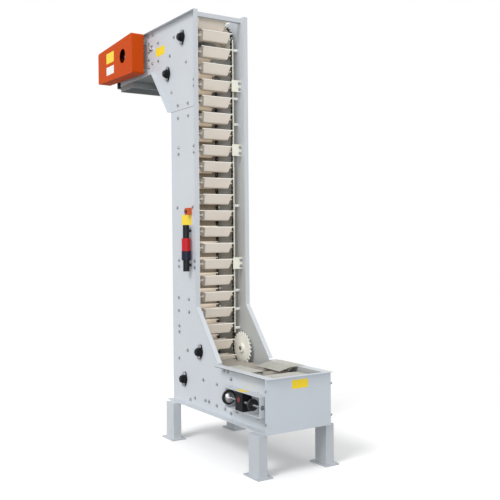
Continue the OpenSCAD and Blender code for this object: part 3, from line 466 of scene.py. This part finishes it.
wheelParts = {"rim": 110 * mm, "stub": 20.4 * mm, "chainFrom": 5.5 * mm}
for name, centre in corner.items():
    def isChain(corners, c=centre):
        away = [math.hypot(p.x - c.x, p.z - c.z) for p in corners]
        off = [abs(abs(p.y - machineY) - chain["middle"]) for p in corners]
        return min(away) > wheelParts["rim"] and max(off) > wheelParts["chainFrom"]

    def isStub(corners, c=centre):
        return max(math.hypot(p.x - c.x, p.z - c.z) for p in corners) < wheelParts["stub"]

    secondFinish(name + "_wheels", finishes["chain"], isChain)
    secondFinish(name + "_wheels", finishes["shaft"], isStub)

knob = {"x": tailAxis.x + 171 * mm, "half": 14 * mm, "rod": 12 * mm}
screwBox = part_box("takeup_screws")
screwZ = (screwBox[0].z + screwBox[1].z) / 2
screwReach = 316 * mm


def isKnob(corners):
    near = all(abs(p.x - knob["x"]) < knob["half"] for p in corners)
    away = [math.hypot(abs(p.y - machineY) - screwReach, p.z - screwZ) for p in corners]
    return near and max(away) > knob["rod"]


cupRim = {"start": tailAxis.x - 208 * mm, "end": tailAxis.x - 192 * mm, "slack": 0.6 * mm,
          "radius": 55 * mm}


def isCupRim(corners):
    along = all(cupRim["start"] - cupRim["slack"] < p.x < cupRim["end"] + cupRim["slack"]
                for p in corners)
    side = [abs(p.y - machineY) - screwReach for p in corners]
    away = [math.hypot(s, p.z - screwZ) for s, p in zip(side, corners)]
    return along and max(away) > cupRim["radius"]


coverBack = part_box("drive_cover")[0].y + 130 * mm
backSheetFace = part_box("tower_back_sheet")[1].x


def isStay(corners):
    # the cover's stays are plain steel rods
    return max(p.y for p in corners) > coverBack + 1 * mm


def isInnerFace(corners):
    # the inner face of the tower's back sheet, which takes a painted shade finish
    return min(p.x for p in corners) > backSheetFace - 0.5 * mm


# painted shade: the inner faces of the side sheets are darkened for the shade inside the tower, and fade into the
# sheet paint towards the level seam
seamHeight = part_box("far_side_sheet")[1].z
shadeFade = {"unshaded": (0.54, 0.575, 0.61), "tall": 1.1}
fadeUp(innerShadePaint, shadeFade["unshaded"], seamHeight - shadeFade["tall"], seamHeight)
innerFace = {"far_side_sheet": 258 * mm, "near_side_sheet": -234 * mm}
for nodeName, faceY in innerFace.items():
    secondFinish(nodeName, innerShadePaint,
                 lambda corners, y=faceY: all(abs(p.y - y) < 0.3 * mm for p in corners))
secondFinish("drive_cover", finishes["steel"], isStay)
secondFinish("tower_back_sheet", shadedBackSheet, isInnerFace)
secondFinish("takeup_screws", blackPlastic, isKnob)
secondFinish("takeup_screws", blackRubber, isCupRim)

# camera

viewpoint = {"place": (6.5903, -3.69907, 1.9088), "azimuth": 57.225, "pitch": -0.9576,
             "roll": 0.4845, "focalPixels": 777.72, "imagePixels": 500, "sensor": 36}


def makeCamera():
    data = bpy.data.cameras.new("viewCamera")
    data.sensor_width = viewpoint["sensor"]
    data.sensor_fit = "HORIZONTAL"
    data.lens = viewpoint["focalPixels"] / viewpoint["imagePixels"] * viewpoint["sensor"]
    data.clip_end = 200
    camera = bpy.data.objects.new("viewCamera", data)
    bpy.context.scene.collection.objects.link(camera)
    level = Matrix.Rotation(math.radians(viewpoint["azimuth"]), 4, "Z") @ Matrix.Rotation(
        math.radians(90 + viewpoint["pitch"]), 4, "X")
    rolled = level @ Matrix.Rotation(math.radians(-viewpoint["roll"]), 4, "Z")
    camera.matrix_world = Matrix.Translation(viewpoint["place"]) @ rolled
    bpy.context.scene.camera = camera


makeCamera()
print("camera placed")

# small fasteners: a hexagon bolt head on its washer, with the nut's chamfer


def makeBolt(across, name):
    bpy.ops.mesh.primitive_cylinder_add(vertices=6, radius=across * 0.577, depth=across * 0.42,
                                        location=(0, 0, across * 0.36))
    head = newPiece(name)
    applyPlace(head)
    editMode(head)
    selectFaces(head, lambda f: f.normal.z > 0.9)
    bpy.ops.mesh.inset(thickness=across * 0.07)
    bpy.ops.transform.translate(value=(0, 0, across * 0.06))
    objectMode()
    bpy.ops.mesh.primitive_cylinder_add(vertices=18, radius=across * 0.92, depth=across * 0.15,
                                        location=(0, 0, across * 0.075))
    washer = newPiece(name + "Washer")
    applyPlace(washer)
    editMode(washer)
    selectFaces(washer, lambda f: f.normal.z > 0.9)
    bpy.ops.mesh.inset(thickness=across * 0.06)
    bpy.ops.transform.translate(value=(0, 0, across * 0.02))
    objectMode()
    return joinPieces([head, washer], name)


clearSelection()
smallBolt = makeBolt(17 * mm, "smallBoltModel")
bigBolt = makeBolt(24 * mm, "bigBoltModel")
plateBolt = makeBolt(11 * mm, "plateBoltModel")

sheetFace = {"near": -238 * mm, "far": 262 * mm, "plate": 1540.5 * mm}
casingBolts = {
    "tower": [(-27, 2766), (-27, 2705), (276, 2754), (276, 2696), (-58, 2195), (244, 2192),
              (-40, 1693), (-40, 1633), (274, 1690), (274, 1631), (-48, 1334), (154, 1331),
              (-50, 1210), (155, 1210), (-43, 1065), (-43, 1007), (120, 846), (-50, 753)],
    "boot": [(415, 611), (660, 609), (786, 746), (849, 747), (901, 689), (656, 417), (799, 415),
             (896, 393), (996, 428), (1322, 632), (1319, 434), (450, 429),
             (516, 430), (166, 390), (254, 420)],
    "head": [(-560, 3955), (-442, 3850), (-101, 3832), (-189, 3671),
             (-442, 3671), (-574, 3671), (137, 3553), (288, 3365), (287, 3306), (-163, 3315),
             (168, 3163), (-33, 3169), (170, 3046), (-31, 3047)],
    "plate": [(-314, 695), (-314, 431), (341, 692), (341, 430)],
}


def fitCasingBolts():
    spots = []
    turn = 0
    for group in ("tower", "boot", "head"):
        for x, z in casingBolts[group]:
            turn += 23
            for side in ("near", "far"):
                spots.append(((x * mm, sheetFace[side], z * mm), side, turn))
    bolts = copiesAt(smallBolt, spots, "casingBolts")
    finishPiece(bolts, boltSteel, "root")
    front = [((sheetFace["plate"], y * mm, z * mm), "front", 11)
             for y, z in casingBolts["plate"]]
    finishPiece(copiesAt(plateBolt, front, "plateBolts"), boltSteel, "root")


bearingNuts = {"reach": 50 * mm, "tilt": 8, "lift": 14 * mm}


def fitBearingNuts():
    reach, lift = bearingNuts["reach"], bearingNuts["lift"]
    tilt = math.radians(bearingNuts["tilt"])
    spots = []
    for centre in [headAxis, *corner.values()]:
        for sign in (-1, 1):
            x = centre.x + sign * reach * math.sin(tilt)
            z = centre.z + sign * reach * math.cos(tilt)
            spots.append(((x, sheetFace["near"] - lift, z), "near", bearingNuts["tilt"]))
            spots.append(((x, sheetFace["far"] + lift, z), "far", bearingNuts["tilt"]))
    nuts = copiesAt(bigBolt, spots, "bearingNuts")
    finishPiece(nuts, boltSteel, "root")


fitCasingBolts()
fitBearingNuts()
print("bolts fitted")

# blank labels and plates


def makeLabel(width, height, name, thick, cornerR=6 * mm):
    bpy.ops.mesh.primitive_plane_add(size=1, location=(0, 0, 0))
    label = newPiece(name)
    label.scale = (width, height, 1)
    applyPlace(label)
    editMode(label)
    bpy.ops.mesh.select_all(action="SELECT")
    bpy.ops.mesh.bevel(offset=cornerR, segments=4, affect="VERTICES")
    bpy.ops.mesh.extrude_region_move(TRANSFORM_OT_translate={"value": (0, 0, thick)})
    bpy.ops.mesh.select_all(action="SELECT")
    bpy.ops.mesh.normals_make_consistent(inside=False)
    objectMode()
    return label


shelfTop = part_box("takeup_frames")[1].z / mm
labels = [
    # name, side, turn, middle, width, height, thickness, colour
    ("headLabel", "near", 0, (-400, -238, 3760), 190, 85, 0.8, yellowLabel),
    ("coverLabelTop", "near", 0, (-1242, -418, 3840), 200, 110, 0.3, yellowLabel),
    ("coverLabelLow", "near", 0, (-1242, -418, 3705), 200, 86, 0.3, whiteLabel),
    ("plateLabel", "front", 90, (1540.5, 22, 722), 158, 70, 0.8, yellowLabel),
    ("connectorLabel", "near", 0, (120, -238, 2074), 196, 96, 0.8, yellowLabel),
    ("shelfLabel", "up", 0, (1162, -290, shelfTop), 130, 54, 0.8, yellowLabel),
]


def fitLabels():
    for name, side, turn, middle, width, height, thick, material in labels:
        model = makeLabel(width * mm, height * mm, name + "Model", thick * mm)
        place = tuple(v * mm for v in middle)
        label = copiesAt(model, [(place, side, turn)], name)
        dropModel(model)
        finishPiece(label, material, "root")


fitLabels()
print("labels placed")

# seam strip, latch and lap lines on the head

seam = {"x": -650, "low": 3600, "high": 3984, "width": 36, "thick": 2.5,
        "bolts": (3640, 3720, 3800, 3880, 3955)}


def bevelBox(size, place, name, bevel=1.5 * mm, segments=2):
    bpy.ops.mesh.primitive_cube_add(size=1, location=place)
    box = newPiece(name)
    box.scale = size
    applyPlace(box)
    editMode(box)
    bpy.ops.mesh.select_all(action="SELECT")
    bpy.ops.mesh.bevel(offset=bevel, segments=segments, affect="EDGES")
    objectMode()
    return box


def fitSeams():
    middle = (seam["low"] + seam["high"]) / 2 * mm
    tall = (seam["high"] - seam["low"]) * mm
    strips = []
    for side, sign in (("near", -1), ("far", 1)):
        y = sheetFace[side] + sign * seam["thick"] / 2 * mm
        strips.append(bevelBox((seam["width"] * mm, seam["thick"] * mm, tall),
                               (seam["x"] * mm, y, middle), "seamStrip", 0.8 * mm))
    strip = joinPieces(strips, "seamStrips")
    finishPiece(strip, finishes["sheet"], "root")
    spots = []
    for z in seam["bolts"]:
        for side, sign in (("near", -1), ("far", 1)):
            spots.append(((seam["x"] * mm, sheetFace[side] + sign * seam["thick"] * mm, z * mm),
                          side, 17))
    finishPiece(copiesAt(smallBolt, spots, "seamBolts"), boltSteel, "root")


# shadow lines: the level seam of the side sheets, and under the hopper's rim

levelLine = {"left": -177.5, "right": 362.5, "z": 3120, "tall": 3, "thick": 0.8}
rimLine = {"left": 744, "right": 1536, "y": -311, "z": 784.4, "tall": 5, "thick": 3}


def fitShadowLines():
    width = (levelLine["right"] - levelLine["left"]) * mm
    middle = (levelLine["right"] + levelLine["left"]) / 2 * mm
    bpy.ops.mesh.primitive_cube_add(
        size=1, location=((rimLine["left"] + rimLine["right"]) / 2 * mm, rimLine["y"] * mm,
                          rimLine["z"] * mm))
    rim = newPiece("rimLine")
    rim.scale = ((rimLine["right"] - rimLine["left"]) * mm, rimLine["thick"] * mm,
                 rimLine["tall"] * mm)
    lines = [rim]
    for side in ("near", "far"):
        bpy.ops.mesh.primitive_cube_add(size=1, location=(middle, sheetFace[side],
                                                          levelLine["z"] * mm))
        line = newPiece("levelSeam")
        line.scale = (width, levelLine["thick"] * mm, levelLine["tall"] * mm)
        lines.append(line)
    finishPiece(joinPieces(lines, "levelSeams"), seamDark, "root")


latch = {"x": -598, "z": 3828, "width": 66, "height": 52, "depth": 22, "base": 5}


def fitLatch():
    x, z, front = latch["x"] * mm, latch["z"] * mm, sheetFace["near"] - latch["base"] * mm
    base = bevelBox((latch["width"] * mm, latch["base"] * mm, latch["height"] * mm),
                    (x, front + latch["base"] / 2 * mm, z), "latchBase", 2 * mm)
    lever = bevelBox((latch["width"] * 0.4 * mm, latch["depth"] * mm, latch["height"] * 0.7 * mm),
                     (x, front - latch["depth"] / 2 * mm, z), "latchLever", 4 * mm, 3)
    piece = joinPieces([base, lever], "headLatch")
    smoothByAngle(piece)
    finishPiece(piece, finishes["knob"], "root")


fitSeams()
fitShadowLines()
fitLatch()
print("head details fitted")

# pale sleeves over the spacer tubes, and bolts of the guide brackets

tubes = {"heights": (1040, 1220, 1400, 2210, 2985, 3230, 3690), "innerNear": -233.8,
         "innerFar": 257.8, "sleeveR": 14, "length": 40,
         # x of each row of tubes, and the heights between which it has them
         "rows": ((244.5, 995, 3790), (-110.7, 608, 3361))}


def fitTubeSleeves():
    bpy.ops.mesh.primitive_cylinder_add(vertices=24, radius=tubes["sleeveR"] * mm,
                                        depth=tubes["length"] * mm,
                                        location=(0, 0, tubes["length"] / 2 * mm))
    model = newPiece("sleeveModel")
    applyPlace(model)
    editMode(model)
    selectFaces(model, lambda f: abs(f.normal.z) > 0.9)
    bpy.ops.mesh.bevel(offset=1.5 * mm, segments=2)
    objectMode()
    spots = []
    for x, low, high in tubes["rows"]:
        for z in tubes["heights"]:
            if low < z < high:
                spots.append(((x * mm, tubes["innerNear"] * mm, z * mm), "far", 0))
                spots.append(((x * mm, tubes["innerFar"] * mm, z * mm), "near", 0))
    sleeves = copiesAt(model, spots, "tubeSleeves")
    dropModel(model)
    smoothByAngle(sleeves)
    finishPiece(sleeves, sleeveWhite, "root")


brackets = {"heights": (1662, 2734, 3340), "x": 309.3, "farY": 240, "step": 27.5}


def fitBracketBolts():
    spots = []
    for z in brackets["heights"]:
        for sign in (-1, 1):
            spots.append(((brackets["x"] * mm, brackets["farY"] * mm,
                           (z + sign * brackets["step"]) * mm), "front", 9))
    finishPiece(copiesAt(smallBolt, spots, "bracketBolts"), boltSteel, "root")


fitTubeSleeves()
fitBracketBolts()
print("guides dressed")

# riveted pin ends along both chains

rivet = {"radius": 6.2 * mm, "proud": 1.1 * mm, "sides": 10}


def makeRivet():
    bpy.ops.mesh.primitive_cylinder_add(vertices=rivet["sides"], radius=rivet["radius"],
                                        depth=rivet["proud"], location=(0, 0, rivet["proud"] / 2),
                                        end_fill_type="NGON")
    model = newPiece("rivetModel")
    applyPlace(model)
    editMode(model)
    selectFaces(model, lambda f: f.normal.z > 0.9)
    bpy.ops.mesh.inset(thickness=2 * mm)
    bpy.ops.transform.translate(value=(0, 0, -0.6 * mm))
    objectMode()
    return model


def runPins(start, direction, links, skipEnds=True):
    step = chain["pitch"]
    numbers = range(1, links) if skipEnds else range(links + 1)
    return [(start[0] + direction[0] * step * k, start[1] + direction[1] * step * k)
            for k in numbers]


def arcPins(centre, first, sense, links):
    pins = []
    for k in range(1, links):
        angle = math.radians(first + sense * k * 360 / chain["teeth"])
        pins.append((centre.x + pitchR * math.cos(angle), centre.z + pitchR * math.sin(angle)))
    return pins


def straightRuns():
    # start, direction and links of each straight strand
    rise, top, boot, gap = chain["rise"], chain["top"], chain["boot"], chain["gap"]
    return {
        "lift_strand": (flat(corner["lower_front"], -pitchR), (0, 1), rise),
        "top_strand": (flat(corner["upper_front"], 0, pitchR), (-1, 0), top),
        "top_return_strand": (flat(headAxis, 0, -pitchR), (1, 0), top - gap),
        "down_strand": (flat(corner["upper_back"], pitchR), (0, -1), rise),
        "bottom_return_strand": (flat(corner["lower_back"], 0, -pitchR), (1, 0), boot + gap),
        "bottom_strand": (flat(tailAxis, 0, pitchR), (-1, 0), boot),
    }


def chainStrands():
    # body, name of its rivets, pins and the number of the strand's first link, round the loop
    runs = straightRuns()
    quarter = chain["teeth"] // 4
    curves = {
        "upper_front_set": (corner["upper_front"], 0, 1, quarter),
        "head_set": (headAxis, 90, 1, 2 * quarter),
        "upper_back_set": (corner["upper_back"], 90, -1, quarter),
        "lower_back_set": (corner["lower_back"], 180, 1, quarter),
        "tail_set": (tailAxis, 270, 1, 2 * quarter),
        "lower_front_set": (corner["lower_front"], 270, -1, quarter),
    }
    order = [("lift_strand", "liftRivets"), ("upper_front_set", "upperFrontRivets"),
             ("top_strand", "topRivets"), ("head_set", "headRivets"),
             ("top_return_strand", "topReturnRivets"), ("upper_back_set", "upperBackRivets"),
             ("down_strand", "downRivets"), ("lower_back_set", "lowerBackRivets"),
             ("bottom_return_strand", "bottomReturnRivets"), ("tail_set", "tailRivets"),
             ("bottom_strand", "bottomRivets"), ("lower_front_set", "lowerFrontRivets")]
    strands = []
    first = 0
    for body, name in order:
        pins = runPins(*runs[body]) if body in runs else arcPins(*curves[body])
        strands.append((body, name, pins, first))
        first += (runs.get(body) or curves[body])[-1]
    return strands


bucketNodes = {"lift_strand": "lift_buckets", "top_strand": "top_buckets",
               "top_return_strand": "top_return_buckets", "down_strand": "down_buckets",
               "bottom_return_strand": "bottom_return_buckets"}
bucketLipSpot = {"out": 69.5 * mm, "up": 39 * mm, "near": 6 * mm}


def isLipOf(pins):
    def test(corners):
        x = sum(p.x for p in corners) / len(corners)
        z = sum(p.z for p in corners) / len(corners)
        for pinX, pinZ in pins:
            if abs(z - pinZ - bucketLipSpot["up"]) < bucketLipSpot["near"]:
                if abs(abs(x - pinX) - bucketLipSpot["out"]) < bucketLipSpot["near"]:
                    return True
        return False
    return test


# painted highlight: the lip faces of the hung buckets take the paler lip finish
def paintLipHighlights():
    runs = straightRuns()
    for body, _, _, first in chainStrands():
        if body in bucketNodes:
            pins = runPins(*runs[body], skipEnds=False)
            hung = [pin for k, pin in enumerate(pins) if (first + k) % 4 == 1]
            secondFinish(bucketNodes[body], bucketLipHighlight, isLipOf(hung))


paintLipHighlights()
# painted shade: the buckets in the hopper, the front legs and the outlet chute take darker finishes for the shade
# they sit in; the buckets' darker tone is partly dust
for nodeName, finish in (("bottom_buckets", dustyShadedBucket), ("front_legs", frontLegShadePaint),
                         ("outlet_chute", finishes["dark_sheet"])):
    nodes[nodeName].data.materials.clear()
    nodes[nodeName].data.materials.append(finish)


def fitRivets():
    model = makeRivet()
    for body, name, pins, first in chainStrands():
        spots = []
        for k, (x, z) in enumerate(pins):
            if (first + k) % 4 == 0:
                continue  # a bucket pin fills this one
            for side, sign in (("near", -1), ("far", 1)):
                for face, facingSide in ((1, side), (-1, "far" if side == "near" else "near")):
                    y = machineY + sign * (chain["middle"] + face * chain["half"])
                    spots.append(((x, y, z), facingSide, 0))
        rivets = copiesAt(model, spots, name)
        finishPiece(rivets, finishes["chain"], body)
    dropModel(model)


fitRivets()
print("chain riveted")

# take-up: knob washers, thread and the block's end cap

# distances along the screw are from the cup's end
takeup = {"left": tailAxis.x - 220 * mm, "knobAt": 380, "knobDeep": 22, "endAt": 530,
          "threadStep": 4, "threads": ((18, 40), (70, 94), (103, 131))}


def ringAt(outer, inner, depth, name, sides=40):
    bpy.ops.mesh.primitive_cylinder_add(vertices=sides, radius=outer, depth=depth,
                                        location=(0, 0, depth / 2), end_fill_type="NGON")
    ring = newPiece(name)
    applyPlace(ring)
    editMode(ring)
    selectFaces(ring, lambda f: abs(f.normal.z) > 0.9)
    bpy.ops.mesh.inset(thickness=outer - inner)
    bpy.ops.mesh.bridge_edge_loops()
    bpy.ops.mesh.select_all(action="SELECT")
    bpy.ops.mesh.normals_make_consistent(inside=False)
    bpy.ops.mesh.select_all(action="DESELECT")
    objectMode()
    bevel = ring.modifiers.new("edge", "BEVEL")
    bevel.width = min(depth, outer - inner) * 0.2
    bevel.segments = 2
    bevel.limit_method = "ANGLE"
    applyModifiers(ring)
    smoothByAngle(ring)
    return ring


def fitTakeupDetails():
    sides = (machineY - screwReach, machineY + screwReach)
    disc = ringAt(34 * mm, 11 * mm, 5 * mm, "knobDiscModel", 32)
    spots = []
    for y in sides:
        inner = takeup["left"] + takeup["knobAt"] * mm
        spots.append(((inner + takeup["knobDeep"] * mm, y, screwZ), "front", 0))
        spots.append(((inner, y, screwZ), "back", 0))
    discs = copiesAt(disc, spots, "knobDiscs")
    dropModel(disc)
    finishPiece(discs, blackPlastic, "root")
    washer = ringAt(19 * mm, 11 * mm, 4 * mm, "endWasherModel", 28)
    spots = [((takeup["left"] + takeup["endAt"] * mm, y, screwZ), "front", 0) for y in sides]
    washers = copiesAt(washer, spots, "endWashers")
    dropModel(washer)
    finishPiece(washers, finishes["knob"], "root")
    thread = ringAt(11.2 * mm, 9.6 * mm, 1.6 * mm, "threadModel", 16)
    spots = [((takeup["left"] + at * takeup["threadStep"] * mm, y, screwZ), "front", 0)
             for start, end in takeup["threads"] for at in range(start, end) for y in sides]
    threads = copiesAt(thread, spots, "screwThreads")
    dropModel(thread)
    finishPiece(threads, finishes["knob"], "root")
    cap = ringAt(22 * mm, 4 * mm, 4 * mm, "blockCapModel", 36)
    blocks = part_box("takeup_blocks")
    caps = copiesAt(cap, [((tailAxis.x, blocks[0].y, tailAxis.z), "near", 0),
                          ((tailAxis.x, blocks[1].y, tailAxis.z), "far", 0)], "blockCaps")
    dropModel(cap)
    finishPiece(caps, redCap, "root")


fitTakeupDetails()
print("take-up dressed")

# apron that carries the far hood's slope further over the buckets' edge

apron = {"left": 829.5, "right": 1189.5, "ridgeY": 207, "footY": 62, "ridgeZ": 795.4,
         "footZ": 767, "thick": 2.5}


def fitApron():
    run, rise = apron["ridgeY"] - apron["footY"], apron["ridgeZ"] - apron["footZ"]
    middle = Vector((apron["left"] + apron["right"], apron["ridgeY"] + apron["footY"],
                     apron["ridgeZ"] + apron["footZ"])) / 2 * mm
    plate = bevelBox(((apron["right"] - apron["left"]) * mm, math.hypot(run, rise) * mm,
                      apron["thick"] * mm), (0, 0, 0), "hoodApron", 0.6 * mm, 1)
    plate.matrix_world = Matrix.Translation(middle) @ Matrix.Rotation(
        math.atan2(rise, run), 4, "X")
    applyPlace(plate)
    finishPiece(plate, shadedSteel, "root")


fitApron()

# rounded end caps on the closed bearings

endCap = {"radius": 27, "depth": 7, "face": 48}


def fitBearingCaps():
    bpy.ops.mesh.primitive_cylinder_add(vertices=36, radius=endCap["radius"] * mm,
                                        depth=endCap["depth"] * mm,
                                        location=(0, 0, endCap["depth"] / 2 * mm))
    model = newPiece("endCapModel")
    applyPlace(model)
    editMode(model)
    selectFaces(model, lambda f: f.normal.z > 0.9)
    bpy.ops.mesh.bevel(offset=4 * mm, segments=3)
    objectMode()
    spots = [((c.x, sheetFace["near"] - endCap["face"] * mm, c.z), "near", 0)
             for c in corner.values()]
    spots += [((c.x, sheetFace["far"] + endCap["face"] * mm, c.z), "far", 0)
              for c in [headAxis, *corner.values()]]
    caps = copiesAt(model, spots, "bearingCaps")
    dropModel(model)
    smoothByAngle(caps)
    finishPiece(caps, finishes["bearing"], "root")


fitBearingCaps()

# gearmotor: cooling fins and terminal box on the CAD motor

motor = {"x": jointPlace["motor_turn"].x, "y": -163, "radius": 60, "low": 3570, "high": 3700,
         "fins": 28, "finDepth": 14, "finThick": 3, "finOut": 5,
         "box": (70, 42, 84), "boxOffset": (-20, 88)}


def fitMotorDetails():
    fins = []
    middleZ = (motor["low"] + motor["high"]) / 2 * mm
    tall = (motor["high"] - motor["low"]) * mm
    for number in range(motor["fins"]):
        angle = 2 * math.pi * number / motor["fins"]
        reach = (motor["radius"] + motor["finOut"]) * mm
        fin = bevelBox((motor["finDepth"] * mm, motor["finThick"] * mm, tall), (0, 0, 0),
                       "motorFin", 0.8 * mm, 1)
        fin.matrix_world = Matrix.Translation(
            (motor["x"] + reach * math.cos(angle), motor["y"] * mm + reach * math.sin(angle),
             middleZ)) @ Matrix.Rotation(angle, 4, "Z")
        fins.append(fin)
    body = joinPieces(fins, "motorFins")
    finishPiece(body, finishes["gearbox"], "root")
    box = bevelBox(tuple(side * mm for side in motor["box"]),
                   (motor["x"] + motor["boxOffset"][0] * mm,
                    (motor["y"] + motor["boxOffset"][1]) * mm, middleZ), "terminalBox", 5 * mm, 3)
    smoothByAngle(box)
    finishPiece(box, finishes["gearbox"], "root")


fitMotorDetails()
print("drive dressed")

# floor, lamps and world

studio = {"floorHalf": 40, "fadeStart": 1.7, "fadeEnd": 3.6, "sky": 0.86,
          "floorSeen": 1.0, "floorBounce": 0.42}


def makeFloor():
    bpy.ops.mesh.primitive_plane_add(size=2 * studio["floorHalf"], location=(0, 0, -0.0005))
    floor = newPiece("paleFloor")
    applyPlace(floor)
    material = bpy.data.materials.new("paleFloorMaterial")
    material.use_nodes = True
    tree = material.node_tree
    tree.nodes.clear()
    out = tree.nodes.new("ShaderNodeOutputMaterial")
    matte = addNode(tree, "ShaderNodeBsdfDiffuse")
    bright = addNode(tree, "ShaderNodeEmission", {"Color": (1, 1, 1, 1), "Strength": 1.0})
    coords = tree.nodes.new("ShaderNodeTexCoord")
    length = addNode(tree, "ShaderNodeVectorMath", operation="LENGTH")
    tree.links.new(coords.outputs["Object"], length.inputs[0])
    away = spread(tree, length.outputs["Value"], studio["fadeStart"], studio["fadeEnd"])
    ray = tree.nodes.new("ShaderNodeLightPath")
    grey = mixColours(tree, ray.outputs["Is Camera Ray"], (*[studio["floorBounce"]] * 3, 1),
                      (*[studio["floorSeen"]] * 3, 1))
    tree.links.new(grey, matte.inputs["Color"])
    both = addNode(tree, "ShaderNodeMath", operation="MULTIPLY", use_clamp=True)
    tree.links.new(away, both.inputs[0])
    tree.links.new(ray.outputs["Is Camera Ray"], both.inputs[1])
    mix = tree.nodes.new("ShaderNodeMixShader")
    tree.links.new(both.outputs[0], mix.inputs[0])
    tree.links.new(matte.outputs[0], mix.inputs[1])
    tree.links.new(bright.outputs[0], mix.inputs[2])
    tree.links.new(mix.outputs[0], out.inputs["Surface"])
    floor.data.materials.append(material)


def makeWorld():
    world = bpy.data.worlds.new("paleWorld")
    bpy.context.scene.world = world
    world.use_nodes = True
    tree = world.node_tree
    tree.nodes.clear()
    out = tree.nodes.new("ShaderNodeOutputWorld")
    lit = addNode(tree, "ShaderNodeBackground",
                  {"Color": (1, 1, 1, 1), "Strength": studio["sky"]})
    seen = addNode(tree, "ShaderNodeBackground", {"Color": (1, 1, 1, 1), "Strength": 1.0})
    ray = tree.nodes.new("ShaderNodeLightPath")
    anyRay = addNode(tree, "ShaderNodeMath", operation="MAXIMUM")
    tree.links.new(ray.outputs["Is Camera Ray"], anyRay.inputs[0])
    tree.links.new(ray.outputs["Is Transmission Ray"], anyRay.inputs[1])
    mix = tree.nodes.new("ShaderNodeMixShader")
    tree.links.new(anyRay.outputs[0], mix.inputs[0])
    tree.links.new(lit.outputs[0], mix.inputs[1])
    tree.links.new(seen.outputs[0], mix.inputs[2])
    tree.links.new(mix.outputs[0], out.inputs["Surface"])


lamps = [
    # name, strength, width of the light in degrees, tilt from straight down, heading
    ("softKey", 1.5, 24, 46, 14),
    ("viewFill", 0.9, 14, 86, 64),
]
innerLight = {"place": (0.07, 0.012, 2.3), "tall": 2.9, "wide": 0.3, "power": 1.5,
              "colour": (1.0, 0.86, 0.70)}


def makeLamps():
    for name, strength, width, tilt, heading in lamps:
        data = bpy.data.lights.new(name, "SUN")
        data.energy = strength
        data.angle = math.radians(width)
        lamp = bpy.data.objects.new(name, data)
        bpy.context.scene.collection.objects.link(lamp)
        lamp.rotation_euler = (math.radians(tilt), 0, math.radians(heading))
    data = bpy.data.lights.new("innerFill", "AREA")
    data.shape = "RECTANGLE"
    data.size = innerLight["tall"]
    data.size_y = innerLight["wide"]
    data.energy = innerLight["power"]
    data.color = innerLight["colour"]
    lamp = bpy.data.objects.new("innerFill", data)
    bpy.context.scene.collection.objects.link(lamp)
    lamp.location = innerLight["place"]
    lamp.rotation_euler = (0, math.radians(90), 0)


makeFloor()
makeWorld()
makeLamps()
for bolt in (smallBolt, bigBolt, plateBolt):
    dropModel(bolt)
bpy.context.scene.view_settings.view_transform = "Standard"
print("studio set")
